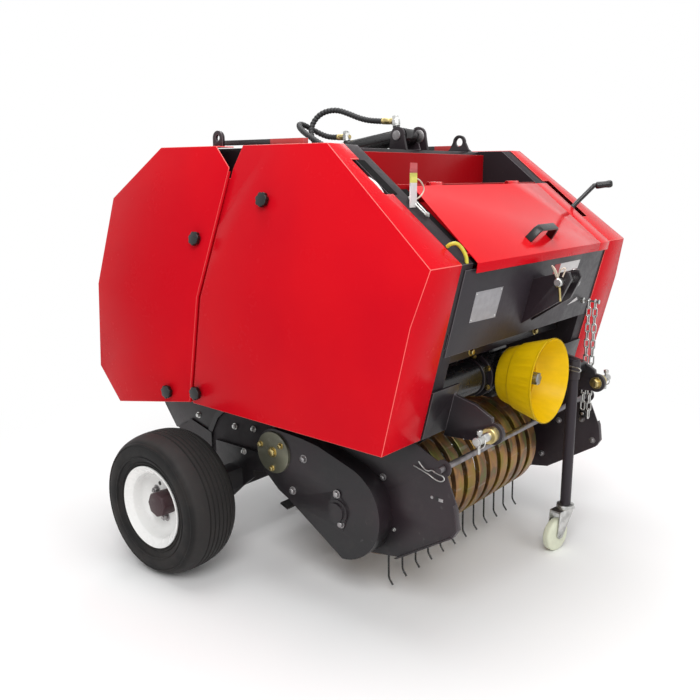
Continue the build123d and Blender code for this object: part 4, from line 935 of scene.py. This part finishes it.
# Indicator bar with its link and the wire that leads to it
indicator = {
    "x": (-409, -383), "y": (-400, -396), "levels": (1043, 1101, 1124, 1147),
    "colours": ("markWhite", "markYellow", "markRed"),
    "wire": [(-399, -395, 1104), (-388, -394, 1110), (-370, -394, 1109), (-355, -394, 1100),
             (-345, -394, 1086), (-352, -394, 1074), (-366, -394, 1066), (-382, -394, 1060),
             (-386, -395, 1052)],
    "link": [(-380, -378, 1066), (-376, -390, 1058), (-377, -420, 1034), (-380, -432, 1026),
             (-385, -432, 1026), (-388, -420, 1034), (-388, -390, 1058), (-384, -378, 1066)],
    "linkBolts": [(-383, -384, 1060), (-383, -428, 1025)],
}
levels = indicator["levels"]
make("indicator_bar", "frame",
     [(colour, block(*indicator["x"], *indicator["y"], low, high))
      for colour, low, high in zip(indicator["colours"], levels, levels[1:])],
     0.5, 1, replaces=["indicator"])
loop = indicator["link"] + indicator["link"][:1]
make("indicator_link", "frame",
     [("strap", tube(bent(indicator["wire"]), 1.8, 8)), ("zinc", tube(bent(loop), 2.4, 8)),
      ("zinc", copies(hexHead(10, 6), indicator["linkBolts"], (0, -0.6211, 0.7837)))])


# Wing that carries the lid on over the right post, with the lip at its front; like the lid it takes the
# lighter, glossier copy of the red enamel, a painted sheen
wing = [(-349.7, 1092.7), (-568, 919.7), (-563.3, 895.7), (-560.3, 895.7), (-563.8, 919.2),
        (-347.9, 1090.4)]
make("lid_wing", "lid", [("redTop", prism(wing, 0, 346.0, 413.0))], 0.4, 2, slot="shield_paint")

# Dark matte strip under the lid's left edge: painted shade in the gap there
lidEdgeShade = [(-343.5, 1084.9), (-556, 916.5), (-554.8, 914.9), (-342.3, 1083.3)]
make("lid_edge_shade", "frame", [("pad", prism(lidEdgeShade, 0, -374.0, -346.0))], slot="shield_paint")

# Twine pulley on its axle under the left sheet's window, and a dark matte pad beside it: painted shade in
# the window
pulley = {
    "wheel": [(0, 8), (0, 76), (1, 83), (2.5, 84), (4, 82), (5, 79), (6, 82), (7.5, 84), (9, 83),
              (10, 76), (10, 8)],
    "axle": [(0, 0), (0, 8), (78, 8), (80, 6), (80, 0)],
    "pad": [(-360, 1073), (-259, 1153), (-259, 1154.8), (-360, 1074.8)],
}
make("twine_pulley", "frame", [("white", revolve(pulley["wheel"], toLeft, (-441, -274, 1035), 72)),
                               ("zinc", revolve(pulley["axle"], toLeft, (-377, -274, 1035), 20)),
                               ("pad", prism(pulley["pad"], 0, -438.0, -408.0))])


# Lid handle: an open bow on the lid; (across, up) outline carried down the slope
handle = {
    "centre": (16, -527, 952.3), "wide": 22,
    "outline": [(-66, 0), (-56, 33), (-46, 42), (46, 42), (55, 33), (66, 0), (56, 0), (47, 30),
                (41, 35), (-41, 35), (-48, 30), (-56, 0)],
}
downSlope, outSlope = (0.0, -0.7837, -0.6211), (0.0, -0.6211, 0.7837)
bow = prism(handle["outline"], 1, -handle["wide"] / 2, handle["wide"] / 2)
bow = turned(bow, handle["centre"], (1, 0, 0), downSlope, outSlope)
make("lid_handle_bow", "lid", [("plastic", bow)], 1.6, 3, replaces=["lid_handle"])


# Density lever with its grip, and the tube that leads the twine
lever = {
    "path": [(447, -420, 1012), (455, -436, 1034), (468, -461, 1064), (478, -480, 1083),
             (488, -497, 1090), (502, -520, 1092)],
    "wire": 5, "bracket": (440, 454, -432, -406, 990, 1018),
    "grip": [(0, 0), (0, 8), (3, 10.5), (8, 11), (30, 10), (40, 11.5), (47, 11), (51, 8), (52, 0)],
    "gripFoot": (480, -484, 1085), "gripAlong": (0.5, -0.85, 0.12),
}
make("density_lever_bent", "frame",
     [("blackGloss", tube(bent(lever["path"]), lever["wire"], 12)),
      ("blackGloss", block(*lever["bracket"])),
      ("plastic", revolve(lever["grip"], lever["gripAlong"], lever["gripFoot"], 20))],
     0.6, 1, replaces=["density_lever"])
guide = [(-420, -511, 957.5), (-419, -518, 963), (-414, -527, 966), (-408, -534, 963),
         (-401, -543, 950), (-397, -549, 934), (-397, -551, 920)]
make("twine_guide_tube", "frame", [("twine", tube(bent(guide), 4.6, 14))], replaces=["twine_guide"])


# Cylinder: hose ends and the cheeks at its front pin. Profiles are (distance along, radius).
cylinder = {
    "pin": (0, -95, 1230), "eye": (0, 400, 1153),
    # port along the barrel, its height, and the hose's first two points
    "ports": ((30, 35, (0, -10, 1275), (0, 34, 1277)),
              (222, 26, (0, 164, 1233), (0, 194, 1233))),
    "banjo": [(0, 0), (0, 11), (4, 11), (4, 12.4), (17, 12.4), (18.5, 11), (18.5, 0)],
    "banjoBolt": [(18.5, 0), (18.5, 10.4), (27, 10.4), (29.5, 8.6), (29.5, 0)],
    "sleeve": [(0, 8), (0, 9.4), (3, 9.5), (4, 8.7), (6, 9.5), (26, 9.5), (28, 8.4), (30, 9.5),
               (40, 9.5), (42, 8.2), (42, 6), (48, 6), (48, 0)],
    # front foot and shoulder of a cheek, centre and radius of its eye, rear foot
    "nearCheek": ((-128, 1190), (-118, 1230), (-96, 1232), 23, (-68, 1190)),
    "farCheek": ((-146, 1190), (-138, 1230), (-112, 1231), 26, (-78, 1190)),
    "disc": [(0, 0), (0, 18), (1, 19), (2.4, 19), (3, 18), (3, 0)],
    "pinHead": [(0, 0), (0, 14), (3, 14), (4, 13), (4, 0)],
}
swing = math.atan2(cylinder["eye"][2] - cylinder["pin"][2], cylinder["eye"][1] - cylinder["pin"][1])
along, up = (0.0, math.cos(swing), math.sin(swing)), (0.0, -math.sin(swing), math.cos(swing))


def onCylinder(distance, height):
    # Pin + distance * along + height * up
    return np.array(cylinder["pin"]) + distance * np.array(along) + height * np.array(up)


def cheekOutline(foot, shoulder, eye, radius, rearFoot):
    # Two straight edges with half a circle round the eye between them
    turn = np.linspace(math.pi, 0.0, 13)
    arc = [(eye[0] + radius * math.cos(a), eye[1] + radius * math.sin(a)) for a in turn]
    return [foot, shoulder] + arc + [rearFoot]


hoseEnds = []
for port, boss, start, onward in cylinder["ports"]:
    base = onCylinder(port, boss)
    back = unit(np.subtract(start, onward).astype(float))
    hoseEnds += [("zinc", revolve(cylinder["banjo"], up, base, 24)),
                 ("zinc", revolve(cylinder["banjoBolt"], up, base, 6)),
                 ("brass", revolve(cylinder["sleeve"], back, start, 24))]
make("hose_ends", "lift_cylinder", hoseEnds, replaces=["hose_fittings"])
cheeks = [("black", prism(cheekOutline(*cylinder["nearCheek"]), 0, -46, -36)),
          ("black", prism(cheekOutline(*cylinder["farCheek"]), 0, 36, 46)),
          ("dullZinc", revolve(cylinder["disc"], toLeft, (36, -117, 1229), 28))]
cheeks += [("dullZinc", revolve(cylinder["pinHead"], (side, 0, 0), (side * 46, -95, 1230), 28))
           for side in (-1, 1)]
make("cylinder_cheeks", "frame", cheeks, 1.2, 2)


# Red strip that closes the joint between frame and gate, and the dark strip and plate under it
joint = {
    "top": (116, 1137), "foot": (222, 491), "head": 1128, "creaseX": 587,
    "creaseZ": 794, "lean": 0.2384, "wide": (-2.7, 3.2), "thick": 3,
    "under": [(379, 222, 486), (379, 350, 378), (379, 392, 303)],
    "underSection": [(-9, -1), (9, -1), (9, 1), (-9, 1)],
    "heel": [(374, 318), (374, 247), (428, 258), (482, 286), (534, 292), (530, 312), (486, 330),
             (474, 345)],
}


def jointStrip():
    # Rows of four corners at three heights, in the outer plane of the sheets
    z = np.array([joint["head"], joint["creaseZ"], joint["foot"][1] + 1.0])
    run, rise = joint["foot"][0] - joint["top"][0], joint["top"][1] - joint["foot"][1]
    middle = joint["top"][0] + (joint["top"][1] - z) * run / rise
    x = joint["creaseX"] - np.maximum(0.0, joint["lean"] * (z - joint["creaseZ"]))
    front, rear = joint["wide"]
    corners = [(x - deep, middle + y, z)
               for deep, y in ((0, front), (0, rear), (joint["thick"], rear), (joint["thick"], front))]
    return grid(np.array(corners).transpose(2, 0, 1), around=True, ends=True)


make("joint_strips", "gate", [("red", mirrored(jointStrip())),
                              ("black", mirrored(sweep(joint["under"], joint["underSection"]))),
                              ("black", mirrored(prism(joint["heel"], 0, 380.0, 382.0)))])


print("pieces done")
